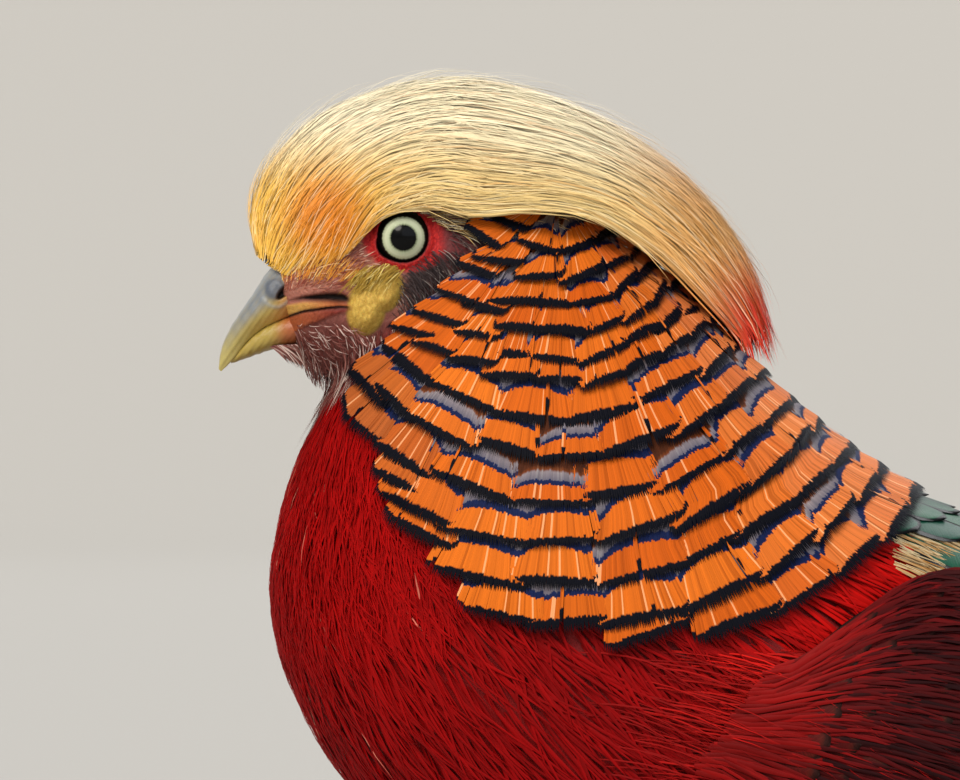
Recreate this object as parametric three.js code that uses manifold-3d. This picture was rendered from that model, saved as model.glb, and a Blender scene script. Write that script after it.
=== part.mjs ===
// A male golden pheasant at life size, standing still on both feet.
// Millimetres, +Z up. The bill points to -X and the bird's own left side is at -Y.
// Each named mesh is one closed solid: the body under its plumage, then the overlapping feather forms.

import * as THREE from "three";
import { mergeVertices } from "three/addons/utils/BufferGeometryUtils.js";
import Module from "manifold-3d";

const wasm = await Module();
wasm.setup();

// Driving sizes. X is measured from the eye, Z from the floor.
const GAP = 0.3;
const SLIVER = 0.05;
const EYE_HEIGHT = 285;
const EYEBALL_RADIUS = 6.2;
const EYE_OPENING = 4.9;
const LID_RADIUS = 5.6;
const LID_TUBE = 0.85;
const LID_BEADS = 8;
const VANE_THICK = 0.7;
const ROW_RISE = 1.65;
const VANE_LIFT = 0.85;
const CAPE_CENTRE_X = 31.3;
const CAPE_CENTRE_Z = 294.6;
const CAPE_ROW_STEP = 15;
const CAPE_FEATHER_WIDTH = 24;
const CAPE_BACK_HALF = 8;
const CAPE_START = 12;
const CAPE_TOP_ROW = 25;
const FOOT_X = 95;
const FOOT_Y = 25;
const TARSUS_RISE = 72;
const TARSUS_LEAN = 24;
const TAIL_LENGTH = 650;
const TAIL_WIDTH = 46;
const TAIL_SLOPE = 11;
const TAIL_HANG = 42;
const TAIL_PAIR_LENGTHS = [0.78, 0.6, 0.46, 0.35, 0.26];
const FLOOR_CUT = 0.35;
const SHELL_IN = 1.2;
const SHELL_OUT = 2;
const CREST_INSET = 2.3;
const TORSO_RINGS = 15;
const TORSO_SPOKES = 20;
const TAIL_SIDE_START = 3;
const TAIL_ROOT_HALF = 3.9;

// The body from the bill's root to the tail's root, as sections seen from the side:
// top x, top z, bottom x, bottom z, half width.
const BODY = [
  [-25.8, 280.2, -22, 264.6, 4.2],
  [-24.5, 284, -20.5, 262, 7.4],
  [-20, 291, -19.8, 260.3, 10.8],
  [-10, 297.5, -18, 258.8, 13.2],
  [3, 300.5, -16.5, 257.6, 14.3],
  [15, 299, -15, 257, 15.3],
  [27, 294.5, -14.6, 255, 16.5],
  [40, 286.5, -17.2, 249, 20.5],
  [53.5, 274.5, -21, 241, 28],
  [67, 260.5, -24.8, 228, 37],
  [82, 246.5, -26.4, 213, 45],
  [98, 235.5, -22.6, 196, 51],
  [115, 227.5, -11, 175.5, 55],
  [133, 220, 12, 151, 57],
  [150, 213, 38, 133, 57],
  [165, 207, 66, 121, 55],
  [180, 200, 97, 117, 51],
  [195, 193, 128, 122, 44],
  [208, 187, 157, 136, 34],
  [220, 181, 184, 153, 24],
  [230, 176, 207, 163, 15],
];
const BODY_LAST = BODY.length - 1;
const HEAD_END = 6;
const NECK_END = 9;
const BODY_SQUARE = 2.2;

// The bill's two halves, in the same five numbers from the root to the tip.
const BILL_UPPER = [
  [-24.5, 280.6, -15, 270.9, 5.6],
  [-27.6, 278.4, -20, 270.2, 5.5],
  [-30.3, 274.2, -25, 268.4, 4.8],
  [-32.9, 270.4, -29, 266.5, 3.9],
  [-35.2, 266.8, -32, 263.8, 2.9],
  [-36.7, 263.4, -34.3, 261, 1.9],
  [-37.3, 260.3, -36.2, 259.3, 1],
  [-37.4, 258.7, -37.1, 258.5, 0.35],
];
const BILL_LOWER = [
  [-14, 271, -15.5, 265.2, 5.3],
  [-20, 270.6, -21, 263.8, 5.1],
  [-25, 269, -26, 262.7, 4.3],
  [-28.8, 267.2, -29.5, 261.8, 3.3],
  [-31.8, 264.6, -32.3, 260.7, 2.2],
  [-34.4, 261.4, -34.9, 259.6, 0.9],
];

// The crest, as arches over the crown: top x, top z, lower edge x, lower edge z, half width.
const CREST = [
  [-30.2, 281.6, -27.8, 279.8, 3.2],
  [-30.6, 290.5, -23.5, 278.5, 8],
  [-25.8, 300.3, -17, 280, 11.8],
  [-16, 309.6, -11.5, 284, 14.2],
  [-4, 314.3, -4.6, 290, 15.8],
  [10, 316.5, 5, 290.8, 17],
  [25, 314.2, 14, 289, 18],
  [40, 308.3, 25, 290, 18.4],
  [53, 299.6, 38, 289.5, 17.6],
  [63, 289.3, 50, 283, 15.4],
  [69.6, 278, 60, 273.5, 11.6],
  [73, 268, 68, 265, 7],
];

// The folded wing's outline from the bend to the tip:
// upper edge x and z, lower edge x and z, least distance out from the middle plane.
const WING = [
  [75, 199, 60, 179, 40],
  [98, 213, 81, 166, 46],
  [119, 215, 105, 157, 49],
  [143, 208, 134, 151, 50],
  [168, 196, 162, 149, 46],
  [196, 183, 190, 149, 39],
  [220, 171, 216, 151, 32],
  [238, 162, 238, 154, 27],
];

const v3 = (x, y, z) => new THREE.Vector3(x, y, z);
const mix = THREE.MathUtils.lerp;
const rad = THREE.MathUtils.degToRad;

let seed = 7;
function chance() {
  seed = (seed * 16807) % 2147483647;
  return seed / 2147483647;
}
const vary = (amount) => (chance() * 2 - 1) * amount;

// Solids from faces

function manifoldOf(points, faces) {
  const build = (triVerts) =>
    new wasm.Manifold(new wasm.Mesh({ numProp: 3, vertProperties: Float32Array.from(points), triVerts }));
  const made = build(Uint32Array.from(faces));
  if (made.volume() >= 0) return made;
  const turned = Uint32Array.from(faces);
  for (let i = 0; i < turned.length; i += 3) {
    [turned[i + 1], turned[i + 2]] = [turned[i + 2], turned[i + 1]];
  }
  return build(turned);
}

function solidOf(geometry) {
  const plain = new THREE.BufferGeometry();
  const source = geometry.index ? geometry.toNonIndexed() : geometry;
  plain.setAttribute("position", source.getAttribute("position").clone());
  const merged = mergeVertices(plain, 1e-4);
  return manifoldOf(merged.attributes.position.array, merged.index.array);
}

const flat = (points) => points.flatMap((p) => [p.x, p.y, p.z]);

// A stack of rings closed by a fan at both ends.
function stack(rings) {
  const count = rings[0].length;
  const faces = [];
  for (let k = 0; k < rings.length - 1; k++) {
    for (let i = 0; i < count; i++) {
      const a = k * count + i;
      const b = k * count + ((i + 1) % count);
      faces.push(a, b, b + count, a, b + count, a + count);
    }
  }
  const end = (rings.length - 1) * count;
  for (let i = 1; i < count - 1; i++) {
    faces.push(0, i + 1, i);
    faces.push(end, end + i, end + i + 1);
  }
  return manifoldOf(flat(rings.flat()), faces);
}

// Faces of a thin blade whose points come in pairs, bottom and top, split alike on both faces.
function bladeOf(points, rowCount, parts) {
  const id = (k, i, face) => (k * (parts + 1) + i) * 2 + face;
  const faces = [];
  for (let k = 0; k < rowCount - 1; k++) {
    for (let i = 0; i < parts; i++) {
      faces.push(id(k, i, 0), id(k + 1, i, 0), id(k + 1, i + 1, 0));
      faces.push(id(k, i, 0), id(k + 1, i + 1, 0), id(k, i + 1, 0));
      faces.push(id(k, i, 1), id(k + 1, i + 1, 1), id(k + 1, i, 1));
      faces.push(id(k, i, 1), id(k, i + 1, 1), id(k + 1, i + 1, 1));
    }
    faces.push(id(k, parts, 0), id(k + 1, parts, 0), id(k + 1, parts, 1));
    faces.push(id(k, parts, 0), id(k + 1, parts, 1), id(k, parts, 1));
    faces.push(id(k, 0, 0), id(k + 1, 0, 1), id(k + 1, 0, 0));
    faces.push(id(k, 0, 0), id(k, 0, 1), id(k + 1, 0, 1));
  }
  const last = rowCount - 1;
  for (let i = 0; i < parts; i++) {
    faces.push(id(0, i, 0), id(0, i + 1, 0), id(0, i + 1, 1));
    faces.push(id(0, i, 0), id(0, i + 1, 1), id(0, i, 1));
    faces.push(id(last, i, 0), id(last, i + 1, 1), id(last, i + 1, 0));
    faces.push(id(last, i, 0), id(last, i, 1), id(last, i + 1, 1));
  }
  return manifoldOf(flat(points), faces);
}

// A thin blade through rows of {centre, side, up, thick, droop}, split alike on both faces.
function blade(rows, parts = 1) {
  const points = [];
  for (const { centre, side, up, thick, droop = 0 } of rows) {
    for (let i = 0; i <= parts; i++) {
      const x = (2 * i) / parts - 1;
      const p = centre.clone().addScaledVector(side, x).addScaledVector(up, -droop * x * x);
      points.push(p, p.clone().addScaledVector(up, thick));
    }
  }
  return bladeOf(points, rows.length, parts);
}

// A feather that lies on a surface: rows of {share, v, height}, and its half width in u at share 1.
function surfaceBlade(surface, u, halfU, rows, parts = 1, thick = VANE_THICK) {
  const points = [];
  for (const { share, v, height, turn = 0 } of rows) {
    for (let i = 0; i <= parts; i++) {
      const x = (2 * i) / parts - 1;
      const at = u + turn + x * halfU * share;
      points.push(surface(at, v, height), surface(at, v, height + thick));
    }
  }
  return bladeOf(points, rows.length, parts);
}

// Largest closed body of a union, so a feather that touches nothing is left out.
function joined(pieces) {
  const whole = wasm.Manifold.union(pieces);
  const largest = whole.decompose().reduce((best, one) => (one.volume() > best.volume() ? one : best));
  return largest.simplify(SLIVER);
}

const mirrored = (made) => made.mirror([0, 1, 0]);
const curve = (points) => new THREE.CatmullRomCurve3(points, false, "catmullrom", 0.5);

// Sections swept along a list of stations

function loftOf(stations, square) {
  const tops = stations.map(([x, z, , , w]) => v3(x, w, z));
  const lows = stations.map(([, , x, z]) => v3(x, 0, z));
  const top = curve(tops);
  const low = curve(lows);
  const last = stations.length - 1;
  const at = (s) => {
    const t = THREE.MathUtils.clamp(s / last, 0, 1);
    return { top: top.getPoint(t), low: low.getPoint(t) };
  };
  // The angle runs from the top, over the bird's left side, to the bottom.
  const point = (s, angle, out = 0) => {
    const { top: t, low: b } = at(s);
    const across = v3(t.x - b.x, 0, t.z - b.z);
    const half = across.length() / 2;
    across.normalize();
    const c = Math.cos(angle);
    const d = Math.sin(angle);
    const power = 2 / square;
    const high = Math.sign(c) * Math.abs(c) ** power * half;
    const wide = Math.sign(d) * Math.abs(d) ** power * t.y;
    const push = v3(0, -d / t.y, 0).addScaledVector(across, c / half).normalize();
    return v3((t.x + b.x) / 2, -wide, (t.z + b.z) / 2)
      .addScaledVector(across, high)
      .addScaledVector(push, out);
  };
  const halfWidth = (x, z) => {
    const side = (s) => {
      const { top: t, low: b } = at(s);
      return (b.x - t.x) * (z - t.z) - (b.z - t.z) * (x - t.x);
    };
    let lo = 0;
    let hi = last;
    const sign = Math.sign(side(lo));
    for (let i = 0; i < 26; i++) {
      const mid = (lo + hi) / 2;
      if (Math.sign(side(mid)) === sign) lo = mid;
      else hi = mid;
    }
    const { top: t, low: b } = at(lo);
    const h = Math.hypot(x - (t.x + b.x) / 2, z - (t.z + b.z) / 2) / (Math.hypot(t.x - b.x, t.z - b.z) / 2);
    return h >= 1 ? 0 : t.y * (1 - h ** square) ** (1 / square);
  };
  return { at, point, halfWidth, last };
}

function loftSolid(loft, from, to, rings, spokes, out = 0, phase = 0.5) {
  const rows = [];
  for (let k = 0; k <= rings; k++) {
    const s = mix(from, to, k / rings);
    const angles = Array.from({ length: spokes }, (_, i) => ((i + phase) / spokes) * 2 * Math.PI);
    rows.push(angles.map((angle) => loft.point(s, angle, out)));
  }
  return stack(rows);
}

const body = loftOf(BODY, BODY_SQUARE);

// A surface patch with thickness: grid lines u and v, heights from and to above the surface.
function slab(surface, us, vs, from, to) {
  const rows = vs.length;
  const cols = us.length;
  const points = [];
  for (let k = 0; k < rows; k++) {
    for (let i = 0; i < cols; i++) {
      points.push(surface(us[i], vs[k], from), surface(us[i], vs[k], to));
    }
  }
  const id = (k, i, face) => (k * cols + i) * 2 + face;
  const faces = [];
  for (let k = 0; k < rows - 1; k++) {
    for (let i = 0; i < cols - 1; i++) {
      faces.push(id(k, i, 0), id(k + 1, i, 0), id(k + 1, i + 1, 0));
      faces.push(id(k, i, 0), id(k + 1, i + 1, 0), id(k, i + 1, 0));
      faces.push(id(k, i, 1), id(k + 1, i + 1, 1), id(k + 1, i, 1));
      faces.push(id(k, i, 1), id(k, i + 1, 1), id(k + 1, i + 1, 1));
    }
    for (const [i, turn] of [[0, 1], [cols - 1, 0]]) {
      const a = id(k, i, 0);
      const b = id(k + 1, i, 0);
      if (turn) faces.push(a, b + 1, b, a, a + 1, b + 1);
      else faces.push(a, b, b + 1, a, b + 1, a + 1);
    }
  }
  for (let i = 0; i < cols - 1; i++) {
    for (const [k, turn] of [[0, 0], [rows - 1, 1]]) {
      const a = id(k, i, 0);
      const b = id(k, i + 1, 0);
      if (turn) faces.push(a, b + 1, b, a, a + 1, b + 1);
      else faces.push(a, b, b + 1, a, b + 1, a + 1);
    }
  }
  return manifoldOf(flat(points), faces);
}

const steps = (from, to, count) => Array.from({ length: count + 1 }, (_, i) => mix(from, to, i / count));

// The cape's own surface: rings round the nape, seen from the side as circles about one centre.
// q runs from the middle of the back (0) to the cape's front edge line (1), r is the ring's radius.
function capeFrontAngle(r) {
  if (r < 18) return 164;
  if (r < 28) return mix(164, 140, (r - 18) / 10);
  return r < 50 ? 140 : 140 - (r - 50) * 0.34;
}

const capeRings = new Map();

function capeRing(r) {
  const known = capeRings.get(r);
  if (known) return known;
  const width = (degrees) => {
    const a = rad(degrees);
    return body.halfWidth(CAPE_CENTRE_X + r * Math.cos(a), CAPE_CENTRE_Z - r * Math.sin(a));
  };
  let lo = -60;
  let hi = 90;
  for (let i = 0; i < 26; i++) {
    const mid = (lo + hi) / 2;
    if (width(mid) > 0) hi = mid;
    else lo = mid;
  }
  const end = capeFrontAngle(r);
  const points = [];
  for (let i = 0; i <= 160; i++) {
    const a = mix(hi, end, (i / 160) ** 2);
    const c = rad(a);
    points.push(v3(CAPE_CENTRE_X + r * Math.cos(c), i ? -width(a) : 0, CAPE_CENTRE_Z - r * Math.sin(c)));
  }
  const lengths = [0];
  for (let i = 1; i < points.length; i++) {
    lengths.push(lengths[i - 1] + points[i].distanceTo(points[i - 1]));
  }
  const ring = { points, lengths, length: lengths[lengths.length - 1] };
  capeRings.set(r, ring);
  return ring;
}

function ringPoint(r, q) {
  const ring = capeRing(r);
  const wanted = Math.min(Math.abs(q), 1) * ring.length;
  let i = 1;
  while (i < ring.points.length - 1 && ring.lengths[i] < wanted) i++;
  const t = (wanted - ring.lengths[i - 1]) / (ring.lengths[i] - ring.lengths[i - 1]);
  const p = ring.points[i - 1].clone().lerp(ring.points[i], t);
  if (q < 0) p.y = -p.y;
  return p;
}

function capeFlat(q, r) {
  const low = Math.floor(r / 2) * 2;
  return ringPoint(low, q).lerp(ringPoint(low + 2, q), (r - low) / 2);
}

function capeSurface(q, r, out) {
  const p = capeFlat(q, r);
  if (!out) return p;
  const across = capeFlat(q + 0.02, r).sub(capeFlat(q - 0.02, r));
  const along = capeFlat(q, r + 2).sub(capeFlat(q, r - 2));
  return p.addScaledVector(across.cross(along).normalize(), out);
}

// The cape's lower edge, seen from the side: its radius at each angle from the back to the front.
const CAPE_EDGE = [
  [38, 101],
  [45, 100.5],
  [64, 96],
  [82, 91],
  [98, 87],
  [106, 82],
  [112, 76],
  [120, 71],
  [129, 65],
  [136, 57],
  [141, 46],
];

function capeEdgeRadius(angle) {
  const at = Math.min(Math.max(CAPE_EDGE.findIndex(([a]) => a > angle), 1), CAPE_EDGE.length - 1);
  const [a0, r0] = CAPE_EDGE[at - 1];
  const [a1, r1] = CAPE_EDGE[at];
  return angle > 141 ? 46 : mix(r0, r1, THREE.MathUtils.clamp((angle - a0) / (a1 - a0), 0, 1));
}

const sideAngle = (p) => THREE.MathUtils.radToDeg(Math.atan2(CAPE_CENTRE_Z - p.z, p.x - CAPE_CENTRE_X));

// The largest q on a ring that still lies above the cape's lower edge.
function capeReachQ(r) {
  let lo = 0;
  let hi = 1;
  if (capeEdgeRadius(sideAngle(capeFlat(1, r))) >= r) return 1;
  for (let i = 0; i < 16; i++) {
    const mid = (lo + hi) / 2;
    if (capeEdgeRadius(sideAngle(capeFlat(mid, r))) >= r) lo = mid;
    else hi = mid;
  }
  return lo;
}

// Nodes

const group = new THREE.Group();
group.name = "golden_pheasant";
const solids = {};

function node(name, made, colour) {
  solids[name] = made;
  const source = made.getMesh();
  const count = source.numProp;
  const positions = [];
  for (let i = 0; i < source.numVert; i++) {
    positions.push(...source.vertProperties.slice(i * count, i * count + 3));
  }
  const geometry = new THREE.BufferGeometry();
  geometry.setAttribute("position", new THREE.Float32BufferAttribute(positions, 3));
  geometry.setIndex(Array.from(source.triVerts));
  const mesh = new THREE.Mesh(geometry, new THREE.MeshStandardMaterial({ color: colour, roughness: 0.7 }));
  mesh.name = name;
  group.add(mesh);
}

const bulb = (x, y, z, rx, ry, rz, detail = 1) =>
  solidOf(new THREE.IcosahedronGeometry(1, detail).scale(rx, ry, rz).translate(x, y, z));

// Eyes

const eyeSide = body.halfWidth(0, EYE_HEIGHT);
const eyeDepth = Math.sqrt(EYEBALL_RADIUS ** 2 - EYE_OPENING ** 2);
const eyeY = eyeSide + 0.5 - eyeDepth;
const eyeball = (radius) =>
  solidOf(new THREE.SphereGeometry(radius, 12, 7).translate(0, -eyeY, EYE_HEIGHT));
const eyeLeft = eyeball(EYEBALL_RADIUS);
const socketLeft = eyeball(EYEBALL_RADIUS + GAP);

// A ring of small beads round the eye, where the bare lid meets the ball.
function lidRing() {
  const rows = [];
  for (let i = 0; i < LID_BEADS * 2; i++) {
    const a = (i / (LID_BEADS * 2)) * 2 * Math.PI;
    const tube = LID_TUBE * (i % 2 ? 0.8 : 1.1);
    const corner = 1 + 0.16 * Math.max(0, Math.cos(a - rad(200))) ** 3;
    const ring = [];
    for (let k = 0; k < 4; k++) {
      const b = (k / 4) * 2 * Math.PI;
      const reach = LID_RADIUS * corner + tube * Math.cos(b);
      const side = -(eyeSide + 0.35) - tube * Math.sin(b);
      ring.push(v3(reach * Math.cos(a), side, EYE_HEIGHT + reach * Math.sin(a)));
    }
    rows.push(ring);
  }
  const count = 4;
  const faces = [];
  for (let k = 0; k < rows.length; k++) {
    const next = (k + 1) % rows.length;
    for (let i = 0; i < count; i++) {
      const a = k * count + i;
      const b = k * count + ((i + 1) % count);
      const c = next * count + i;
      const d = next * count + ((i + 1) % count);
      faces.push(a, b, d, a, d, c);
    }
  }
  return manifoldOf(flat(rows.flat()), faces);
}

// Bill

const upperLoft = loftOf(BILL_UPPER, 2.1);
const lowerLoft = loftOf(BILL_LOWER, 2.3);
const tilted = (rx, ry, rz) => new THREE.IcosahedronGeometry(1, 1).scale(rx, ry, rz).rotateY(rad(-35));
const nostril = (side) => solidOf(tilted(2, 1.2, 1.05).translate(-24.3, side * 5.6, 273.6));
const operculum = (side) => solidOf(tilted(1.9, 1, 1.5).translate(-25.9, side * 4.5, 274.6));
let upper = loftSolid(upperLoft, 0, upperLoft.last, 10, 10, 0, 0);
upper = joined([upper, operculum(-1), operculum(1)]);
upper = joined([upper.subtract(nostril(-1)).subtract(nostril(1))]);
const upperClear = loftSolid(upperLoft, 0, upperLoft.last, 10, 10, GAP, 0);
const lower = joined([loftSolid(lowerLoft, 0, lowerLoft.last, 7, 8, 0, 0).subtract(upperClear)]);

// Head, with lids, the cheek lobes, the chin and the corners of the mouth

function headSolid() {
  const pieces = [loftSolid(body, 0, HEAD_END - 0.03, 9, 16)];
  pieces.push(bulb(-22.6, 0, 264.6, 5.4, 4.3, 3));
  for (const side of [-1, 1]) {
    pieces.push(bulb(-5.9, side * 14.1, 272.6, 4.7, 2.4, 6.2));
    pieces.push(bulb(-7.7, side * 14.9, 269.6, 2.4, 1.7, 3.8));
    pieces.push(bulb(-3.9, side * 14.9, 271.6, 2, 1.7, 4.2));
  }
  let made = wasm.Manifold.union(pieces);
  const ring = lidRing();
  made = made.add(ring).add(mirrored(ring));
  made = made.subtract(socketLeft).subtract(mirrored(socketLeft));
  made = made.subtract(loftSolid(upperLoft, 0, 3.4, 4, 10, 0.5));
  made = made.subtract(loftSolid(lowerLoft, 0, 3.4, 4, 10, 0.45));
  const slit = new THREE.BoxGeometry(9, 40, 0.9).rotateY(rad(-6)).translate(-15.4, 0, 272.2);
  const keep = new THREE.BoxGeometry(12, 15, 6).translate(-15.4, 0, 272.2);
  made = made.subtract(solidOf(slit).subtract(solidOf(keep)));
  return joined([made]);
}
const head = headSolid();

// Neck and torso

const neck = loftSolid(body, HEAD_END + 0.02, NECK_END - 0.01, 4, 20);
const torso = loftSolid(body, NECK_END + 0.02, BODY_LAST, TORSO_RINGS, TORSO_SPOKES);
const torsoClear = loftSolid(body, NECK_END + 0.02, BODY_LAST, TORSO_RINGS, TORSO_SPOKES, GAP + 0.05);

// Cape: a shell over the nape and shoulders with rows of square-ended feathers

const capeBackQ = (r, half) => Math.min(half / capeRing(Math.round(r / 2) * 2).length, 0.88);

// A feather two steps long. Its narrow quill sinks into the layer at height base, and its vane rises
// so that its end clears the middle of the next feather behind it.
function shingle(surface, base, u, v, halfU, step, shape = [0.96, 1], quill = 0.14, parts = 1) {
  const wide = shape.map((share, k) => {
    const passed = mix(0.85, 2, k / (shape.length - 1));
    return [passed, VANE_LIFT + ROW_RISE * Math.max(passed - 1, -0.06), share];
  });
  const rows = [[0.3, -1.1, quill], ...wide];
  return surfaceBlade(
    surface,
    u,
    halfU,
    rows.map(([passed, rise, share]) => ({ share, v: v - step * (2 - passed), height: base + rise })),
    parts,
  );
}

function capeRows() {
  const rows = [];
  for (let r = CAPE_TOP_ROW; r < 101; r += CAPE_ROW_STEP) rows.push(r);
  return rows;
}

// Under the crest the rows start with short feathers.
const capeStep = (r) => (r === CAPE_TOP_ROW ? (CAPE_TOP_ROW - CAPE_START) / 2 : CAPE_ROW_STEP);

// Radial lines of the cape's shell, each as long as the lower edge allows there.
function capeLine(u) {
  const at = (r) => mix(capeBackQ(r, CAPE_BACK_HALF), 1, u);
  let r = 60;
  for (let i = 0; i < 12; i++) r = mix(r, capeEdgeRadius(sideAngle(capeFlat(at(r), r))) - 10, 0.6);
  return r;
}

function capeSide() {
  const lines = new Map(steps(0, 1, 9).map((u) => [u, capeLine(u)]));
  const surface = (u, v, out) => {
    const r = mix(CAPE_START, lines.get(u), v);
    return capeSurface(mix(capeBackQ(r, CAPE_BACK_HALF), 1, u), r, out);
  };
  const pieces = [slab(surface, [...lines.keys()], steps(0, 1, 7), SHELL_IN, SHELL_OUT)];
  for (const r of capeRows()) {
    const ring = capeRing(Math.round(r / 2) * 2);
    const start = capeBackQ(r, CAPE_BACK_HALF);
    const end = capeReachQ(r);
    const span = (end - start) * ring.length;
    const count = Math.max(1, Math.round(span / CAPE_FEATHER_WIDTH));
    if (end <= start + 0.03) continue;
    for (let i = 0; i < count; i++) {
      const q = mix(start, end, (i + 0.5) / count);
      const halfQ = (end - start) / count / 2 - (r === CAPE_TOP_ROW ? 1.1 : 0.35) / ring.length;
      pieces.push(shingle(capeSurface, SHELL_OUT, q, r, halfQ, capeStep(r)));
    }
  }
  return joined(pieces);
}

function capeBack() {
  const half = CAPE_BACK_HALF - GAP - 1;
  const surface = (u, r, out) => capeSurface(u * capeBackQ(r, half), r, out);
  const pieces = [slab(surface, steps(-1, 1, 2), steps(CAPE_START, 99, 8), SHELL_IN, SHELL_OUT)];
  for (const r of capeRows()) {
    pieces.push(shingle(surface, SHELL_OUT, 0, r + 2, 0.8, capeStep(r)));
  }
  return joined(pieces);
}

const capeLeft = capeSide();
const capeRight = mirrored(capeLeft);
const capeMiddle = joined([capeBack()]);

// Crest: an arched body over the crown, with long tapered strands that run back from the forehead

const crestTop = curve(CREST.map(([x, z, , , w]) => v3(x, w, z)));
const crestLow = curve(CREST.map(([, , x, z]) => v3(x, 0, z)));
const CREST_LAST = CREST.length - 1;

// u runs round the arch from -1 (right edge) over the top to 1 (left edge), s runs back along it.
function crestSurface(u, s, out) {
  const t = THREE.MathUtils.clamp(s / CREST_LAST, 0, 1);
  const top = crestTop.getPoint(t);
  const low = crestLow.getPoint(t);
  const rise = v3(top.x - low.x, 0, top.z - low.z);
  const a = (u * Math.PI) / 2;
  const height = rise.length();
  rise.normalize();
  const push = v3(0, -Math.sin(a) / top.y, 0).addScaledVector(rise, Math.cos(a) / height).normalize();
  return v3(low.x, -Math.sin(a) * top.y, low.z)
    .addScaledVector(rise, Math.cos(a) * height)
    .addScaledVector(push, out);
}

function crestCore(inset) {
  const rings = [];
  for (let k = 0; k <= 10; k++) {
    const s = mix(0.15, CREST_LAST, k / 10);
    const ring = steps(-1, 1, 8).map((u) => crestSurface(u, s, -inset));
    rings.push(ring);
  }
  return stack(rings);
}

function crestStrands() {
  const pieces = [];
  const step = 1.75;
  const rows = [3.9, 5.7, 7.5, 9.3, 11];
  rows.forEach((to, row) => {
    const count = [5, 5, 5, 5, 3][row];
    for (let i = 0; i < count; i++) {
      const u = mix(-0.95, 0.95, (i + 0.5) / count) + vary(0.015);
      pieces.push(shingle(crestSurface, -CREST_INSET, u, to, 0.86 / count, step, [0.85, 1, 0.15]));
    }
  });
  return pieces;
}

// Loose ends that hang past the back of the crest over the cape.
function crestEnds() {
  const pieces = [];
  for (let i = 0; i < 4; i++) {
    const y = mix(-5.4, 5.4, i / 3);
    const back = 1 - 0.012 * y * y;
    const path = [v3(60, y, 281), v3(68, y, 274), v3(72.4, y, 267.5), v3(73.2 * back + 1.4, y * 0.9, 261.5)];
    const rows = path.map((centre, k) => ({
      centre,
      side: v3(0, [0.9, 1.3, 1.1, 0.15][k], 0),
      up: v3(0.75, 0, 0.66),
      thick: 0.9,
    }));
    pieces.push(blade(rows));
  }
  return pieces;
}

const headClear = loftSolid(body, 0, 8, 9, 18, GAP + 0.35);
let crest = wasm.Manifold.union([crestCore(CREST_INSET), ...crestStrands(), ...crestEnds()]);
crest = crest.subtract(headClear).subtract(loftSolid(upperLoft, 0, 3.4, 4, 10, 0.5));
const lidDisc = new THREE.CylinderGeometry(7.5, 7.5, 9, 12);
const lidClear = solidOf(lidDisc.translate(0, -(eyeSide - 0.2), EYE_HEIGHT));
crest = crest.subtract(lidClear).subtract(mirrored(lidClear));
crest = crest.subtract(loftSolid(body, 5.35, 10.5, 6, 18, SHELL_OUT + ROW_RISE + 2.5));
crest = joined([crest]);

// Back: scale-like feathers between the shoulders, then the looser ones of the rump

// u runs from the right (-1) over the back to the left (1) as far as the patch reaches, s along the body.
function backSurface(reach) {
  return (u, s, out) => body.point(s, u * reach(s), out);
}

function backPatch(reach, from, to, rowsAt, counts, step, shape, startRow) {
  const surface = backSurface(reach);
  const pieces = [slab(surface, steps(-1, 1, 6), steps(from, to, 5), SHELL_IN, SHELL_OUT)];
  rowsAt.forEach((s, row) => {
    const count = counts[row];
    for (let i = 0; i < count; i++) {
      const u = mix(-0.94, 0.94, (i + 0.5) / count);
      pieces.push(shingle(surface, SHELL_OUT, u, s, 0.9 / count, step, shape));
    }
  });
  return joined(pieces);
}

const mantle = backPatch(
  (s) => mix(0.62, 0.84, THREE.MathUtils.clamp((s - 11.6) / 2.6, 0, 1)),
  11.62,
  14,
  [13.2, 14.35],
  [4, 5],
  0.72,
  [0.9, 1, 0.45],
);
const rump = backPatch(
  (s) => mix(0.74, 1.25, THREE.MathUtils.clamp((s - 14.2) / 5.6, 0, 1)),
  14.25,
  19.5,
  [17, 18.2, 19.4],
  [5, 4, 3],
  1.12,
  [0.9, 1, 0.2],
);

// Wings: a shell along the flank with tiers of coverts, long secondaries and the primaries' tips

const wingTop = curve(WING.map(([x, z, , , y]) => v3(x, y, z)));
const wingLow = curve(WING.map(([, , x, z]) => v3(x, 0, z)));

// u runs along the wing from the bend to the tip, v from the upper edge to the lower edge.
function wingPlain(u, v) {
  const t = THREE.MathUtils.clamp(u, 0, 1);
  const top = wingTop.getPoint(t);
  const low = wingLow.getPoint(t);
  const x = mix(top.x, low.x, v);
  const z = mix(top.z, low.z, v);
  const least = top.y * (1 - 0.1 * (2 * v - 1) ** 2);
  const near = body.halfWidth(x, z) + 0.2;
  return v3(x, -(near + least + Math.sqrt((near - least) ** 2 + 16)) / 2, z);
}

function wingSurface(v, u, out) {
  const p = wingPlain(u, v);
  const along = wingPlain(u + 0.02, v).sub(wingPlain(u - 0.02, v));
  const down = wingPlain(u, v + 0.02).sub(wingPlain(u, v - 0.02));
  return p.addScaledVector(down.cross(along).normalize(), out);
}

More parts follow.
